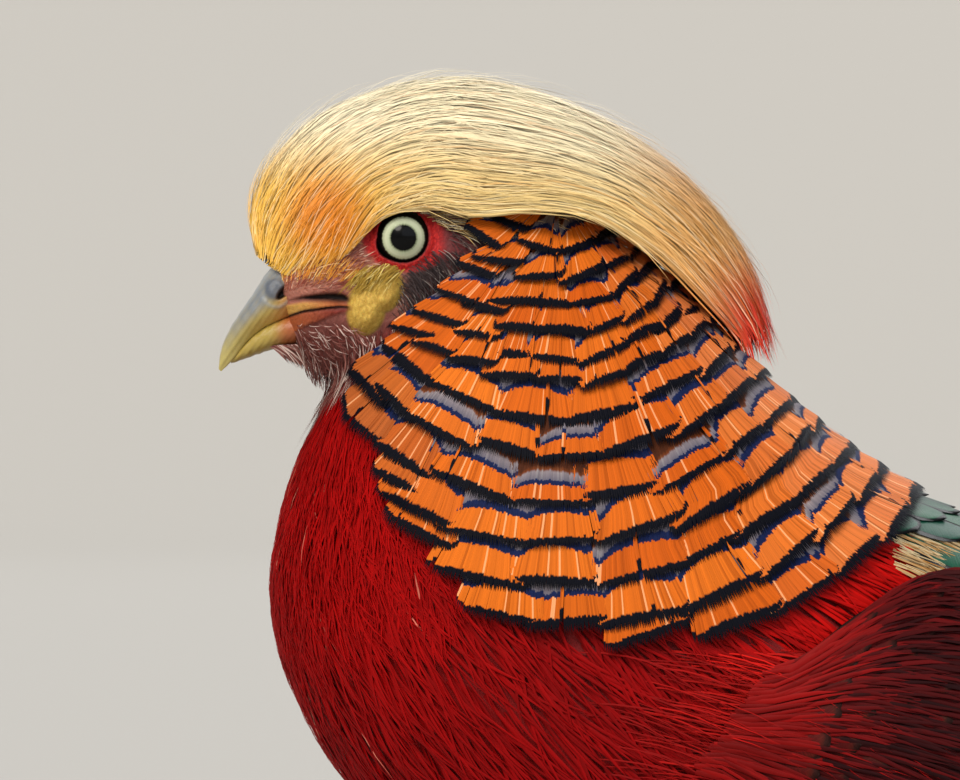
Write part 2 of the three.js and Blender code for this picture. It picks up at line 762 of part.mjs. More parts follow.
// Long feathers lie like clapboards: each one's lower edge covers the next one's upper edge.
function wingLong(v, from, to, halfV, height, tip) {
  const rows = [
    [0, 0.12, -1.3],
    [0.18, 0.2, 0],
    [0.34, 0.92, 0.2],
    [0.62, 1, 0.3],
    [0.86, 0.9, 0.3],
    [1, tip, 0.3],
  ];
  const points = [];
  for (const [k, share, rise] of rows) {
    for (const x of [-1, 1]) {
      const lean = rise > 0.1 ? (x + 1) * 0.8 : 0;
      const high = SHELL_OUT + rise + lean + height;
      const at = v + x * halfV * share;
      points.push(wingSurface(at, mix(from, to, k), high));
      points.push(wingSurface(at, mix(from, to, k), high + VANE_THICK));
    }
  }
  return bladeOf(points, rows.length, 1);
}

function wingSide() {
  const pieces = [slab(wingSurface, steps(0.02, 0.98, 4), steps(0, 0.86, 8), 0.8, SHELL_OUT)];
  for (const [u, count, quill] of [[0.2, 3, 0.7], [0.32, 4, 0.14], [0.44, 4, 0.14]]) {
    for (let i = 0; i < count; i++) {
      const v = mix(0.03, 0.96, (i + 0.5) / count);
      pieces.push(shingle(wingSurface, SHELL_OUT, v, u, 0.44 / count, 0.1, [0.95, 1, 0.5], quill));
    }
  }
  for (let i = 0; i < 6; i++) {
    const v = mix(0.1, 0.8, i / 5);
    pieces.push(wingLong(v, 0.36, mix(0.74, 0.9, i / 5), 0.115, 0, 0.3));
  }
  return joined(pieces);
}

const wingLeft = wingSide();

// Tail: two long middle feathers over shorter pairs, on a root that butts on the torso

const TAIL_ROOT = v3(231, 0, 168);
const tailDir = v3(Math.cos(rad(TAIL_SLOPE)), 0, -Math.sin(rad(TAIL_SLOPE)));

// Bends a feather down a little towards its end.
function tailPoint(distance, sideways, drop) {
  const sag = 26 * (distance / TAIL_LENGTH) ** 2;
  return TAIL_ROOT.clone().addScaledVector(tailDir, distance).add(v3(0, sideways, -drop - sag));
}

// A middle feather is a low roof; the shorter pairs hang from the ridge like two sides of a tent.
function middleFeather(length, side, rise) {
  const shares = [0, 0.05, 0.13, 0.3, 0.5, 0.7, 0.87, 1];
  const halves = [0.1, 0.13, 0.5, 0.95, 1, 0.86, 0.55, 0.05];
  const up = v3(Math.sin(rad(TAIL_SLOPE)), 0, Math.cos(rad(TAIL_SLOPE)));
  const rows = shares.map((share, k) => ({
    centre: tailPoint(length * share - 4, side * 0.5, -rise),
    side: v3(0, (TAIL_WIDTH / 2) * halves[k], 0),
    up,
    thick: VANE_THICK,
    droop: 11 * halves[k] ** 1.5,
  }));
  return blade(rows, 2);
}

function sideFeather(length, width, side, pair) {
  const shares = [0, 0.08, 0.22, 0.6, 0.85, 1];
  const halves = [0.1, 0.14, 0.75, 1, 0.7, 0.1];
  const start = TAIL_SIDE_START + 0.68 * pair;
  const hang = v3(0, side * Math.cos(rad(TAIL_HANG)), -Math.sin(rad(TAIL_HANG)));
  const up = v3(0, side * Math.sin(rad(TAIL_HANG)), Math.cos(rad(TAIL_HANG)));
  const rows = shares.map((share, k) => {
    const distance = length * share;
    const out = (width / 2) * halves[k] + 0.012 * pair * distance;
    return {
      centre: tailPoint(distance - 4, side * start, 2.6 + 2.25 * pair).addScaledVector(hang, out),
      side: hang.clone().multiplyScalar((width / 2) * halves[k]),
      up,
      thick: VANE_THICK,
    };
  });
  return blade(rows, 1);
}

// A root that butts on the torso, between two distances from the middle plane.
function tailRoot(middle, half) {
  const stations = [[222, 0.5, 3], [229, 1, 9], [240, 0.95, 9], [247, 0.8, 6.5]];
  const rings = stations.map(([x, wide, high]) =>
    Array.from({ length: 8 }, (_, i) => {
      const a = ((i + 0.5) / 8) * 2 * Math.PI;
      const z = TAIL_ROOT.z - (x - 231) * 0.2 - 4 + high * Math.sin(a);
      return v3(x, middle + half * wide * Math.cos(a), z);
    }),
  );
  return stack(rings);
}

function tailMiddle() {
  const pieces = [tailRoot(0, TAIL_ROOT_HALF)];
  pieces.push(middleFeather(TAIL_LENGTH, -1, 3.2));
  pieces.push(middleFeather(TAIL_LENGTH - 14, 1, 1));
  return joined([joined(pieces).subtract(torsoClear)]);
}

function tailSide() {
  const half = 2.7;
  const pieces = [tailRoot(-(TAIL_ROOT_HALF + GAP + half), half)];
  TAIL_PAIR_LENGTHS.forEach((share, k) => {
    pieces.push(sideFeather(TAIL_LENGTH * share, TAIL_WIDTH - 8 - 3 * k, -1, k));
  });
  const slot = new THREE.BoxGeometry(60, 2 * (TAIL_ROOT_HALF + GAP), 80);
  const middleClear = solidOf(slot.translate(225, 0, TAIL_ROOT.z));
  return joined([joined(pieces).subtract(torsoClear).subtract(middleClear)]);
}

// Tail coverts: long narrow feathers that hang along both sides of the tail's root

function covertSide() {
  const rings = [[216, 2.5, 4], [222, 3.8, 7.5], [232, 3.6, 8], [238, 2, 5]].map(([x, wide, high]) =>
    Array.from({ length: 8 }, (_, i) => {
      const a = (i / 8) * 2 * Math.PI;
      return v3(x, -21 + wide * Math.cos(a), 169 - (x - 231) * 0.2 + high * Math.sin(a));
    }),
  );
  const pieces = [stack(rings)];
  for (let i = 0; i < 4; i++) {
    const length = 205 - 34 * i;
    const rows = [0, 0.12, 0.45, 0.8, 1].map((share, k) => ({
      centre: v3(
        231 + length * share * 0.98,
        -21.5 - 13 * share - i * 1.5 * share,
        175.5 - i * 4 - length * share * (0.17 + 0.035 * i) - 16 * share * share,
      ),
      side: v3(0, -2.4, -5.2 + i * 0.4).multiplyScalar([0.2, 0.25, 1, 0.85, 0.1][k]),
      up: v3(0, -1, 0.3).normalize(),
      thick: 0.8,
    }));
    pieces.push(blade(rows));
  }
  const rumpClear = loftSolid(body, 16.5, 19.7, 3, TORSO_SPOKES, SHELL_OUT + ROW_RISE + 1.4);
  return joined([joined(pieces).subtract(torsoClear).subtract(rumpClear)]);
}

// Thighs: feathered drumsticks from the belly to the hock

const hock = v3(FOOT_X + TARSUS_LEAN, 0, TARSUS_RISE + 9);

function thighSolid() {
  const stations = [
    [hock.x + 0.1, hock.z + 4.55, 5.4, 4.9, FOOT_Y, -0.26],
    [hock.x - 4, hock.z + 17, 8.6, 7, FOOT_Y + 0.6, 0],
    [hock.x - 14, hock.z + 30, 16, 11, FOOT_Y + 2.4, 0.25],
    [hock.x - 23, hock.z + 46, 25, 15.5, FOOT_Y + 4, 0.3],
    [hock.x - 30, hock.z + 64, 31, 18.5, FOOT_Y + 5.5, 0.3],
    [hock.x - 34, hock.z + 82, 25, 15, FOOT_Y + 6, 0.3],
  ];
  const rings = stations.map(([x, z, long, wide, y, tilt]) =>
    Array.from({ length: 12 }, (_, i) => {
      const a = (i / 12) * 2 * Math.PI;
      return v3(x + long * Math.cos(a) * 0.95, -y - wide * Math.sin(a), z + long * Math.cos(a) * tilt);
    }),
  );
  return joined([stack(rings).subtract(torsoClear)]);
}

// Legs: the scaled shank with its spur, then three front toes and a raised hind toe, each with a claw

const LEG_TOP = v3(hock.x, -FOOT_Y, hock.z + 4.2);
const ANKLE = v3(FOOT_X + 3, -FOOT_Y, 8);

function ringAround(centre, along, across, radiusA, radiusB, count) {
  const other = along.clone().cross(across).normalize();
  return Array.from({ length: count }, (_, i) => {
    const a = ((i + 0.5) / count) * 2 * Math.PI;
    return centre
      .clone()
      .addScaledVector(across, Math.cos(a) * radiusA)
      .addScaledVector(other, Math.sin(a) * radiusB);
  });
}

function tube(path, radii, count = 8) {
  const rings = path.map((p, k) => {
    const along = path[Math.min(k + 1, path.length - 1)].clone().sub(path[Math.max(k - 1, 0)]).normalize();
    const across = v3(0, 1, 0).addScaledVector(along, -along.y).normalize();
    return ringAround(p, along, across, radii[k], radii[k], count);
  });
  return stack(rings);
}

function toe(angle, length, start, lift) {
  const out = v3(-Math.cos(rad(angle)), -Math.sin(rad(angle)), 0);
  const knuckles = [0, 0.25, 0.42, 0.6, 0.78, 1];
  const height = (k) => mix(start.z, lift, Math.min(k * 3, 1));
  const path = knuckles.map((k) => start.clone().addScaledVector(out, length * k).setZ(height(k)));
  const pad = [3.4, 3.1, 2.5, 2.9, 2.4, 2];
  const bow = (k) => lift + 0.9 + 1.2 * Math.sin(k * 2.4) - 2.3 * k * k;
  const claw = [0, 0.35, 0.7, 1].map((k) => path[5].clone().addScaledVector(out, -1 + 10 * k).setZ(bow(k)));
  return [tube(path, pad, 6), tube(claw, [1.7, 1.4, 0.9, 0.3], 5)];
}

function legSolids() {
  const along = LEG_TOP.clone().sub(ANKLE);
  const path = [0, 0.1, 0.3, 0.6, 0.84, 0.94, 1].map((k) => ANKLE.clone().addScaledVector(along, k));
  const radii = [4.6, 3.8, 3.2, 3.1, 3.5, 4.6, 4.8];
  const spurAt = ANKLE.clone().addScaledVector(along, 0.34);
  const spurDir = v3(0.86, 0.42, 0.28).normalize();
  const spurPath = [0, 0.5, 1].map((k) => spurAt.clone().addScaledVector(spurDir, 1.5 + 9 * k));
  const spur = tube(spurPath, [2, 1.4, 0.35], 5);
  const shank = joined([tube(path, radii), spur]);
  const ball = ANKLE.clone().setZ(4.4);
  const hind = ANKLE.clone().add(v3(1, 1.5, 1));
  const hindDir = v3(0.8, 0.5, 0).normalize();
  const behind = (from, d, z) => from.clone().addScaledVector(hindDir, d).setZ(z);
  const hindPath = [[0, 9], [5, 7.4], [9, 5], [12, 3.2]].map(([d, z]) => behind(hind, d, z));
  const hindClaw = [[-0.5, 3], [3.5, 2], [7, 0.5]].map(([d, z]) => behind(hindPath[3], d, z));
  const pieces = [
    ...toe(4, 43, ball, 2.6),
    ...toe(38, 33, ball, 2.6),
    ...toe(-30, 33, ball, 2.6),
    tube(hindPath, [2.6, 2.3, 2.1, 1.7], 6),
    tube(hindClaw, [1.4, 1, 0.35], 5),
    bulb(ball.x, ball.y, 4.2, 6, 5.6, 4.3),
  ];
  const floor = solidOf(new THREE.BoxGeometry(200, 200, 10).translate(FOOT_X, -FOOT_Y, -5 + FLOOR_CUT));
  const whole = joined([...pieces, shank]).subtract(floor);
  return joined([whole]);
}

const tailLeft = tailSide();
const covertLeft = covertSide();
const thighLeft = thighSolid();
const legLeft = legSolids();

node("head", head, 0xb06a50);
node("eye_left", eyeLeft, 0x20201c);
node("eye_right", mirrored(eyeLeft), 0x20201c);
node("bill_upper", upper, 0xb8a04a);
node("bill_lower", lower, 0xc08a40);
node("neck", neck, 0x8c1510);
node("torso", torso, 0xa01010);
node("cape_left", capeLeft, 0xe07a2c);
node("cape_right", capeRight, 0xe07a2c);
node("cape_back", capeMiddle, 0xe07a2c);
node("crest", crest, 0xe8c060);
node("mantle", mantle, 0x1f5a3c);
node("rump", rump, 0xe0b030);
node("wing_left", wingLeft, 0x5a2418);
node("wing_right", mirrored(wingLeft), 0x5a2418);
node("tail", tailMiddle(), 0x5a3a20);
node("tail_left", tailLeft, 0x6b4526);
node("tail_right", mirrored(tailLeft), 0x6b4526);
node("tail_coverts_left", covertLeft, 0xb02a10);
node("tail_coverts_right", mirrored(covertLeft), 0xb02a10);
node("thigh_left", thighLeft, 0x8a3018);
node("thigh_right", mirrored(thighLeft), 0x8a3018);
node("leg_left", legLeft, 0xb09a50);
node("leg_right", mirrored(legLeft), 0xb09a50);

// The origin is the middle of the whole bird's box on the floor.
const box = new THREE.Box3().setFromObject(group);
group.position.set(-(box.min.x + box.max.x) / 2, 0, -box.min.z);

export { body, solids };
export default group;
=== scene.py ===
"""A male golden pheasant at life size, standing still and seen from its left side.

Lengths are millimetres in the bird's own frame, x from the eye and z from the floor, until place()
turns them into the metres of the loaded frame. The bill points to -X and the left side is at -Y.
"""

import math

import bpy
import numpy as np
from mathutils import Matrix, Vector


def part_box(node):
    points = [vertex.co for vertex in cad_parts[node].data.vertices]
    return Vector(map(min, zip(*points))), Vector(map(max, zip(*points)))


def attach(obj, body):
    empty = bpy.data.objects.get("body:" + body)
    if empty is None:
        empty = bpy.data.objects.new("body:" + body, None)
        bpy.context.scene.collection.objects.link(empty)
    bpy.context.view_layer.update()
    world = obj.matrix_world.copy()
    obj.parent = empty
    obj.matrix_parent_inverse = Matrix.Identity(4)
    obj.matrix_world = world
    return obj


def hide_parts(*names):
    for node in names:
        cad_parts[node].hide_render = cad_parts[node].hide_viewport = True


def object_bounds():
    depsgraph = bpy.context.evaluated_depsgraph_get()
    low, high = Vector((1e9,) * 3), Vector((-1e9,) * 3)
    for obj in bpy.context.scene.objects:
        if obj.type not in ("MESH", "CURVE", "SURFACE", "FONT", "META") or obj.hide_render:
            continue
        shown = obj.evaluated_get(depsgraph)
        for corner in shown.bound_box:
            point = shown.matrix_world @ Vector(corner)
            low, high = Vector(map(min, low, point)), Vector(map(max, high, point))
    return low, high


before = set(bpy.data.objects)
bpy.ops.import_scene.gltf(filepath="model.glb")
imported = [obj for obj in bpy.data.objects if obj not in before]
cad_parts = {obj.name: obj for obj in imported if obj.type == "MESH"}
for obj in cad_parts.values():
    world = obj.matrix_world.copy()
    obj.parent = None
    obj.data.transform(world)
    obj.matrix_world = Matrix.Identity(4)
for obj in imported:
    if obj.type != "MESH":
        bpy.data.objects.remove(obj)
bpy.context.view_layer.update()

# Camera
# It stands level with the bird's neck, square to its left side, far enough off that the bill and
# the shoulder keep their true lengths. Five pixels show one millimetre at the eye.

EYE_HEIGHT = 285.0
VIEW_WIDTH = 192.0
VIEW_CENTRE = (15.3, 254.6)
EYE_OUT = 15.0
LENS = 300.0
SENSOR = 36.0

eye_low, eye_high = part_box("eye_left")
eye_middle = (eye_low + eye_high) / 2


def place(points):
    """Millimetres from the eye and the floor, as metres in the loaded frame."""
    shift = np.array([eye_middle.x, 0.0, eye_middle.z - EYE_HEIGHT / 1000])
    return np.asarray(points, float) / 1000 + shift


camera_data = bpy.data.cameras.new("camera")
camera_data.lens = LENS
camera_data.sensor_width = SENSOR
camera = bpy.data.objects.new("camera", camera_data)
camera_distance = VIEW_WIDTH / SENSOR * LENS
camera.location = place([VIEW_CENTRE[0], -EYE_OUT - camera_distance, VIEW_CENTRE[1]])
camera.rotation_euler = (math.radians(90), 0, 0)
camera_data.clip_start = 0.05
camera_data.clip_end = 30
bpy.context.scene.collection.objects.link(camera)
bpy.context.scene.camera = camera

# Skin
# One closed skin of bare and downy flesh over the head, neck, body and thighs. It is soft and
# slightly oily on the face, wrinkled round the eye, and lies under the feathers everywhere else.

# Each row is one section from the face to the tail: x and z of its top, x and z of its bottom, and its
# half width.
BODY = np.array([
    [-25.8, 280.2, -22.0, 264.6, 4.2],
    [-24.5, 284.0, -20.5, 262.0, 7.4],
    [-20.0, 291.0, -19.8, 260.3, 10.8],
    [-10.0, 297.5, -18.0, 258.8, 13.2],
    [3.0, 300.5, -16.5, 257.6, 14.3],
    [15.0, 299.0, -15.0, 257.0, 15.3],
    [27.0, 294.5, -14.6, 255.0, 16.5],
    [40.0, 286.5, -17.2, 249.0, 20.5],
    [53.5, 274.5, -21.0, 241.0, 28.0],
    [67.0, 260.5, -24.8, 228.0, 37.0],
    [82.0, 246.5, -26.4, 213.0, 45.0],
    [98.0, 235.5, -22.6, 196.0, 51.0],
    [115.0, 227.5, -11.0, 175.5, 55.0],
    [133.0, 220.0, 12.0, 151.0, 57.0],
    [150.0, 213.0, 38.0, 133.0, 57.0],
    [165.0, 207.0, 66.0, 121.0, 55.0],
    [180.0, 200.0, 97.0, 117.0, 51.0],
    [195.0, 193.0, 128.0, 122.0, 44.0],
    [208.0, 187.0, 157.0, 136.0, 34.0],
    [220.0, 181.0, 184.0, 153.0, 24.0],
    [230.0, 176.0, 207.0, 163.0, 15.0],
])
BODY_SQUARE = 2.2
BODY_LAST = len(BODY) - 1
HALVINGS = 26
draw = np.random.default_rng(11)


def spline(stations, share):
    """A Catmull-Rom curve through rows of numbers; share runs from 0 to 1."""
    ends = np.vstack([2 * stations[0] - stations[1], stations, 2 * stations[-1] - stations[-2]])
    at = np.clip(share, 0, 1) * (len(stations) - 1)
    whole = np.minimum(at.astype(int), len(stations) - 2)
    w = (at - whole)[..., None]
    a, b, c, d = (ends[whole + k] for k in range(4))
    return 0.5 * (2 * b + (c - a) * w + (2 * a - 5 * b + 4 * c - d) * w**2 + (3 * b - a - 3 * c + d) * w**3)


def arrays(*values):
    """Numbers or arrays as float arrays of one shape."""
    return np.broadcast_arrays(*(np.asarray(value, float) for value in values))


def unit(vectors):
    """The vectors at length 1."""
    return vectors / np.maximum(np.linalg.norm(vectors, axis=-1, keepdims=True), 1e-9)


def section_point(stations, square, s, angle, out=0.0):
    """A point on a sweep of sections; the angle runs from the top, over the left side, to the bottom."""
    s, angle, out = arrays(s, angle, out)
    top_x, top_z, low_x, low_z, wide = np.moveaxis(spline(stations, s / (len(stations) - 1)), -1, 0)
    rise_x, rise_z = top_x - low_x, top_z - low_z
    half = np.hypot(rise_x, rise_z) / 2
    rise_x, rise_z = rise_x / (2 * half), rise_z / (2 * half)
    c, d = np.cos(angle), np.sin(angle)
    high = np.sign(c) * np.abs(c) ** (2 / square) * half
    side = np.sign(d) * np.abs(d) ** (2 / square) * wide
    push = unit(np.stack([rise_x * c / half, -d / wide, rise_z * c / half], -1))
    centre = np.stack([(top_x + low_x) / 2 + rise_x * high, -side, (top_z + low_z) / 2 + rise_z * high], -1)
    return centre + push * out[..., None]


def body_point(s, angle, out=0.0):
    return section_point(BODY, BODY_SQUARE, s, angle, out)


def body_half_width(x, z):
    """How far the body's side stands out from the middle plane at x, z, or 0 beyond its outline."""
    x, z = arrays(x, z)

    def beyond(s):
        top_x, top_z, low_x, low_z, _ = np.moveaxis(spline(BODY, s / BODY_LAST), -1, 0)
        return (low_x - top_x) * (z - top_z) - (low_z - top_z) * (x - top_x)

    low, high = np.zeros(x.shape), np.full(x.shape, float(BODY_LAST))
    sign = np.sign(beyond(low))
    for _ in range(HALVINGS):
        middle = (low + high) / 2
        same = np.sign(beyond(middle)) == sign
        low, high = np.where(same, middle, low), np.where(same, high, middle)
    top_x, top_z, low_x, low_z, wide = np.moveaxis(spline(BODY, low / BODY_LAST), -1, 0)
    half = np.hypot(top_x - low_x, top_z - low_z) / 2
    reach = np.hypot(x - (top_x + low_x) / 2, z - (top_z + low_z) / 2) / half
    return wide * np.clip(1 - reach**BODY_SQUARE, 0, 1) ** (1 / BODY_SQUARE)


def mesh_piece(name, points, faces, material, attributes, bake_map=None, normals=None):
    """An object in metres from points in millimetres and a list of arrays of faces, shaded smooth."""
    mesh = bpy.data.meshes.new(name)
    points = place(points)
    mesh.vertices.add(len(points))
    mesh.vertices.foreach_set("co", points.astype(np.float32).ravel())
    corners = np.concatenate([f.ravel() for f in faces])
    sizes = np.concatenate([np.full(len(f), f.shape[1]) for f in faces])
    mesh.loops.add(len(corners))
    mesh.loops.foreach_set("vertex_index", corners.astype(np.int32))
    mesh.polygons.add(len(sizes))
    mesh.polygons.foreach_set("loop_start", (np.cumsum(sizes) - sizes).astype(np.int32))
    mesh.polygons.foreach_set("use_smooth", np.ones(len(sizes), bool))
    mesh.update(calc_edges=True)
    for key, values in attributes.items():
        values = np.asarray(values, np.float32)
        kind, field = ("FLOAT_COLOR", "color") if values.ndim == 2 else ("FLOAT", "value")
        if values.ndim == 2:
            values = np.column_stack([values, np.ones(len(values), np.float32)])
        mesh.attributes.new(key, kind, "POINT").data.foreach_set(field, values.ravel())
    if bake_map is not None:
        layer = mesh.uv_layers.new(name="OFBake")
        layer.uv.foreach_set("vector", np.clip(bake_map, 0, 1)[corners].astype(np.float32).ravel())
    if normals is not None:
        mesh.normals_split_custom_set_from_vertices(normals.tolist())
    mesh.materials.append(material)
    piece = bpy.data.objects.new(name, mesh)
    bpy.context.scene.collection.objects.link(piece)
    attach(piece, "root")
    return piece


def linear(colour):
    """An sRGB hex colour as linear red, green and blue."""
    channels = np.array([int(colour[i:i + 2], 16) for i in (1, 3, 5)]) / 255
    return np.where(channels <= 0.04045, channels / 12.92, ((channels + 0.055) / 1.055) ** 2.4)


def set_inputs(node, links):
    """Gives each named input of a shader node a value, or another node's output."""
    for key, value in links.items():
        if isinstance(value, bpy.types.NodeSocket):
            node.id_data.links.new(value, node.inputs[key])
        else:
            node.inputs[key].default_value = value


def add_node(tree, kind, settings=None, links=None):
    """One shader node with its settings, and each input as a value or as another node's output."""
    made = tree.nodes.new(kind)
    for key, value in (settings or {}).items():
        setattr(made, key, value)
    set_inputs(made, links or {})
    return made


def blank_material(name):
    """A new material with only its surface shader, and that shader and its tree."""
    material = bpy.data.materials.new(name)
    material.use_nodes = True
    tree = material.node_tree
    shader = tree.nodes["Principled BSDF"]
    return material, tree, shader


def grid_faces(rows, columns, wrap):
    """Quads over a grid of points, closed round the columns where wrap is true."""
    last = columns if wrap else columns - 1
    r, c = np.meshgrid(np.arange(rows - 1), np.arange(last), indexing="ij")
    n = (c + 1) % columns
    row, next_row = r * columns, (r + 1) * columns
    return np.stack([row + c, row + n, next_row + n, next_row + c], -1).reshape(-1, 4)


def full_turn(count):
    """Angles spaced evenly round a circle, the first at 0."""
    return np.linspace(0, 2 * math.pi, count, endpoint=False)


def ease(low, high, value):
    """From 0 at low to 1 at high, flat at both."""
    t = np.clip((value - low) / (high - low), 0, 1)
    return t * t * (3 - 2 * t)


def cell_bumps(x, y, size, seed):
    """Rounded pebbles: 1 at each pebble's middle, falling to 0 in the creases between them."""
    table = np.random.default_rng(seed).random((64, 64, 2))
    gx, gy = np.floor(x / size).astype(int), np.floor(y / size).astype(int)
    near = np.full(x.shape, 9.0)
    second = np.full(x.shape, 9.0)
    for dx in (-1, 0, 1):
        for dy in (-1, 0, 1):
            jitter = table[(gx + dx) % 64, (gy + dy) % 64]
            away = np.hypot(x / size - gx - dx - jitter[..., 0], y / size - gy - dy - jitter[..., 1])
            second = np.minimum(second, np.maximum(near, away))
            near = np.minimum(near, away)
    return np.clip((second - near) * 1.6, 0, 1)


EYE_OPENING = 4.55
EYEBALL_RADIUS = 6.2
LID_RIM = 5.3
# Ovals on the side of the head: x and z of the middle, and half the length and the height.
RED_PATCH = (0.3, 284.5, 8.8, 6.3)
WATTLE = (-7.4, 271.2, 3.9, 5.6)
WATTLE_ROOT = (-3.9, 274.2, 3.6, 4.6)
EAR = (6.8, 276.2, 7.2, 6.0)
BEHIND_EYE = (9.6, 284.2, 5.4, 5.2)
SKIN_SINK = 0.6
COAT_SINK = 0.9
FACE_END = 6.4
HEAD_ROWS = 200
BODY_ROWS = 56
SKIN_COLUMNS = 264
MOUTH = np.array([
    [-28.1, 267.2], [-24.7, 269.0], [-20.1, 270.4], [-15.1, 271.1], [-12.1, 271.2], [-9.5, 271.0]])

eye_side = float(body_half_width(0.0, EYE_HEIGHT))


def oval(x, z, middle_x, middle_z, long, high, tilt=0.0):
    """Distance from an oval's middle, 1 on its edge."""
    c, s = math.cos(math.radians(tilt)), math.sin(math.radians(tilt))
    dx, dz = x - middle_x, z - middle_z
    return np.hypot((dx * c + dz * s) / long, (-dx * s + dz * c) / high)


skin_s = np.concatenate([
    np.linspace(0.0, FACE_END, HEAD_ROWS), np.linspace(FACE_END, BODY_LAST, BODY_ROWS)[1:]])
skin_angle = full_turn(SKIN_COLUMNS)
# The columns stand closer on the cheeks, where the finest relief is.
skin_angle = skin_angle + 0.3 * np.sin(2 * skin_angle)
grid_s, grid_angle = np.meshgrid(skin_s, skin_angle, indexing="ij")
base = body_point(grid_s, grid_angle, 0.0)
x, z = base[..., 0], base[..., 2]
on_face = ease(6.4, 5.6, grid_s)

# The wattle: a hanging lobe of wrinkled yellow skin under the eye, with a second fold behind it.
lobe = np.minimum(oval(x, z, *WATTLE, -10), oval(x, z, *WATTLE_ROOT, -36))
folds = cell_bumps(x * 0.95 + z * 0.3, z * 0.5 - x * 0.12, 0.85, 3)
fine_folds = cell_bumps(x * 1.3 - z * 0.2, z + x * 0.3, 0.55, 4)
in_lobe = ease(1.12, 0.92, lobe)
lobe_height = 2.2 * ease(1.1, 0.35, lobe) + in_lobe * (0.22 * folds + 0.06 * fine_folds)
# Small red beads in rings round the eye, the lid's rim, and the sunk opening with its front corner.
eye_away = oval(x, z, 0.0, EYE_HEIGHT, 1.0, 1.0)
eye_turn = np.arctan2(z - EYE_HEIGHT, x)
corner = 0.75 * np.clip(np.cos(eye_turn - math.radians(207)), 0, 1) ** 8
eye_rim = eye_away - corner
red_patch = ease(1.08, 0.9, oval(x, z, *RED_PATCH, -6))
beads = cell_bumps(eye_turn * 7.2, eye_away, 0.68, 5)
ring_height = 0.65 * np.exp(-(((eye_rim - LID_RIM) / 0.6) ** 2)) + 0.34 * red_patch * beads * (eye_rim > 4.9)
# The mouth: a fine line, the horny edge of the gape above it, and the fold over that. The line and the fold
# are painted dark too, as shade in their creases.
mouth_z = np.interp(x, MOUTH[:, 0], MOUTH[:, 1])
on_mouth = ease(-9.6, -11.6, x) * ease(-29, -27, x)
above = z - mouth_z
mouth_line = np.exp(-((above / 0.26) ** 2)) * on_mouth
rim_width = np.interp(x, [-26, -20, -12, -9.5], [2.6, 1.8, 0.9, 0.4])
gape_rim = ease(0.0, 0.4, above) * ease(rim_width + 0.4, rim_width - 0.3, above) * on_mouth
jaw_width = np.interp(x, [-28, -22, -14, -10], [3.9, 3.4, 1.5, 0.3])
jaw_rim = ease(0.0, -0.3, above) * ease(-jaw_width - 0.5, -jaw_width + 0.4, above) * on_mouth
fold_width = np.interp(x, [-26, -19, -13, -10.5], [0.25, 0.5, 1.0, 0.5])
groove = np.exp(-(((above - rim_width - 0.8) / fold_width) ** 2))
groove = groove * ease(-10.2, -12.0, x) * ease(-25, -17, x)
# Fine wrinkles of the lores and the cheek.
wrinkle = 0.2 * cell_bumps(x * 0.9 + z * 0.7, z - x * 0.4, 1.1, 7) + 0.1 * cell_bumps(x, z, 0.45, 8)
quiet = (1 - in_lobe) * (1 - red_patch) * (1 - groove)
rims = 0.75 * gape_rim + 0.5 * jaw_rim
height = on_face * (lobe_height + ring_height + wrinkle * quiet - 1.5 * groove - 0.5 * mouth_line + rims)
# The throat and all that lies under feathers sinks by the coat's depth.
covered = ease(4.0, 7.0, grid_s)
height -= SKIN_SINK * (1 - on_face) + covered * COAT_SINK
opening = ease(EYE_OPENING + 0.26, EYE_OPENING - 0.2, eye_rim)
skin_points = body_point(grid_s, grid_angle, height)
inside = np.sign(base[..., 1]) * (eye_side - 7.0)
sunk = skin_points[..., 1] * (1 - opening) + inside * opening
skin_points[..., 1] = np.where(opening > 0, sunk, skin_points[..., 1])


def blend(colour_a, colour_b, share):
    """Between two hex colours, or arrays of them, share 0 to 1 along the points."""
    a = linear(colour_a) if isinstance(colour_a, str) else colour_a
    b = linear(colour_b) if isinstance(colour_b, str) else colour_b
    return a + (b - a) * np.asarray(share)[..., None]


SKIN_PINK = "#a8685a"
SKIN_MAUVE = "#8a6a66"
SKIN_RED = "#a00e14"
SKIN_BEAD = "#d42c26"
WATTLE_LIT_YELLOW = "#dcb858"
WATTLE_CREASE_SHADE = "#b88c34"
SKIN_EAR = "#352c2c"
SKIN_CHIN = "#743e38"
# The skin under each coat is a darker tone of that coat: painted shade deep in the coat, seen through the
# gaps between barbs.
SKIN_UNDER_SCARLET = "#8a0506"
SKIN_UNDER_GOLD = "#7c5414"
SKIN_UNDER_GREEN = "#0c1410"


def body_zone(s, angle):
    """Shares of scarlet, green and golden plumage over the body, by where the real coat changes."""
    turned = np.minimum(angle % (2 * math.pi), 2 * math.pi - angle % (2 * math.pi))
    back = ease(0.98, 0.82, turned - 0.06 * (s - 12) + 0.25 * ease(13.2, 11.2, s))
    green = back * ease(10.6, 11.2, s) * ease(14.4, 13.9, s)
    gold = ease(1.38, 1.2, turned - 0.03 * (s - 15)) * ease(13.9, 14.4, s)
    return green, gold


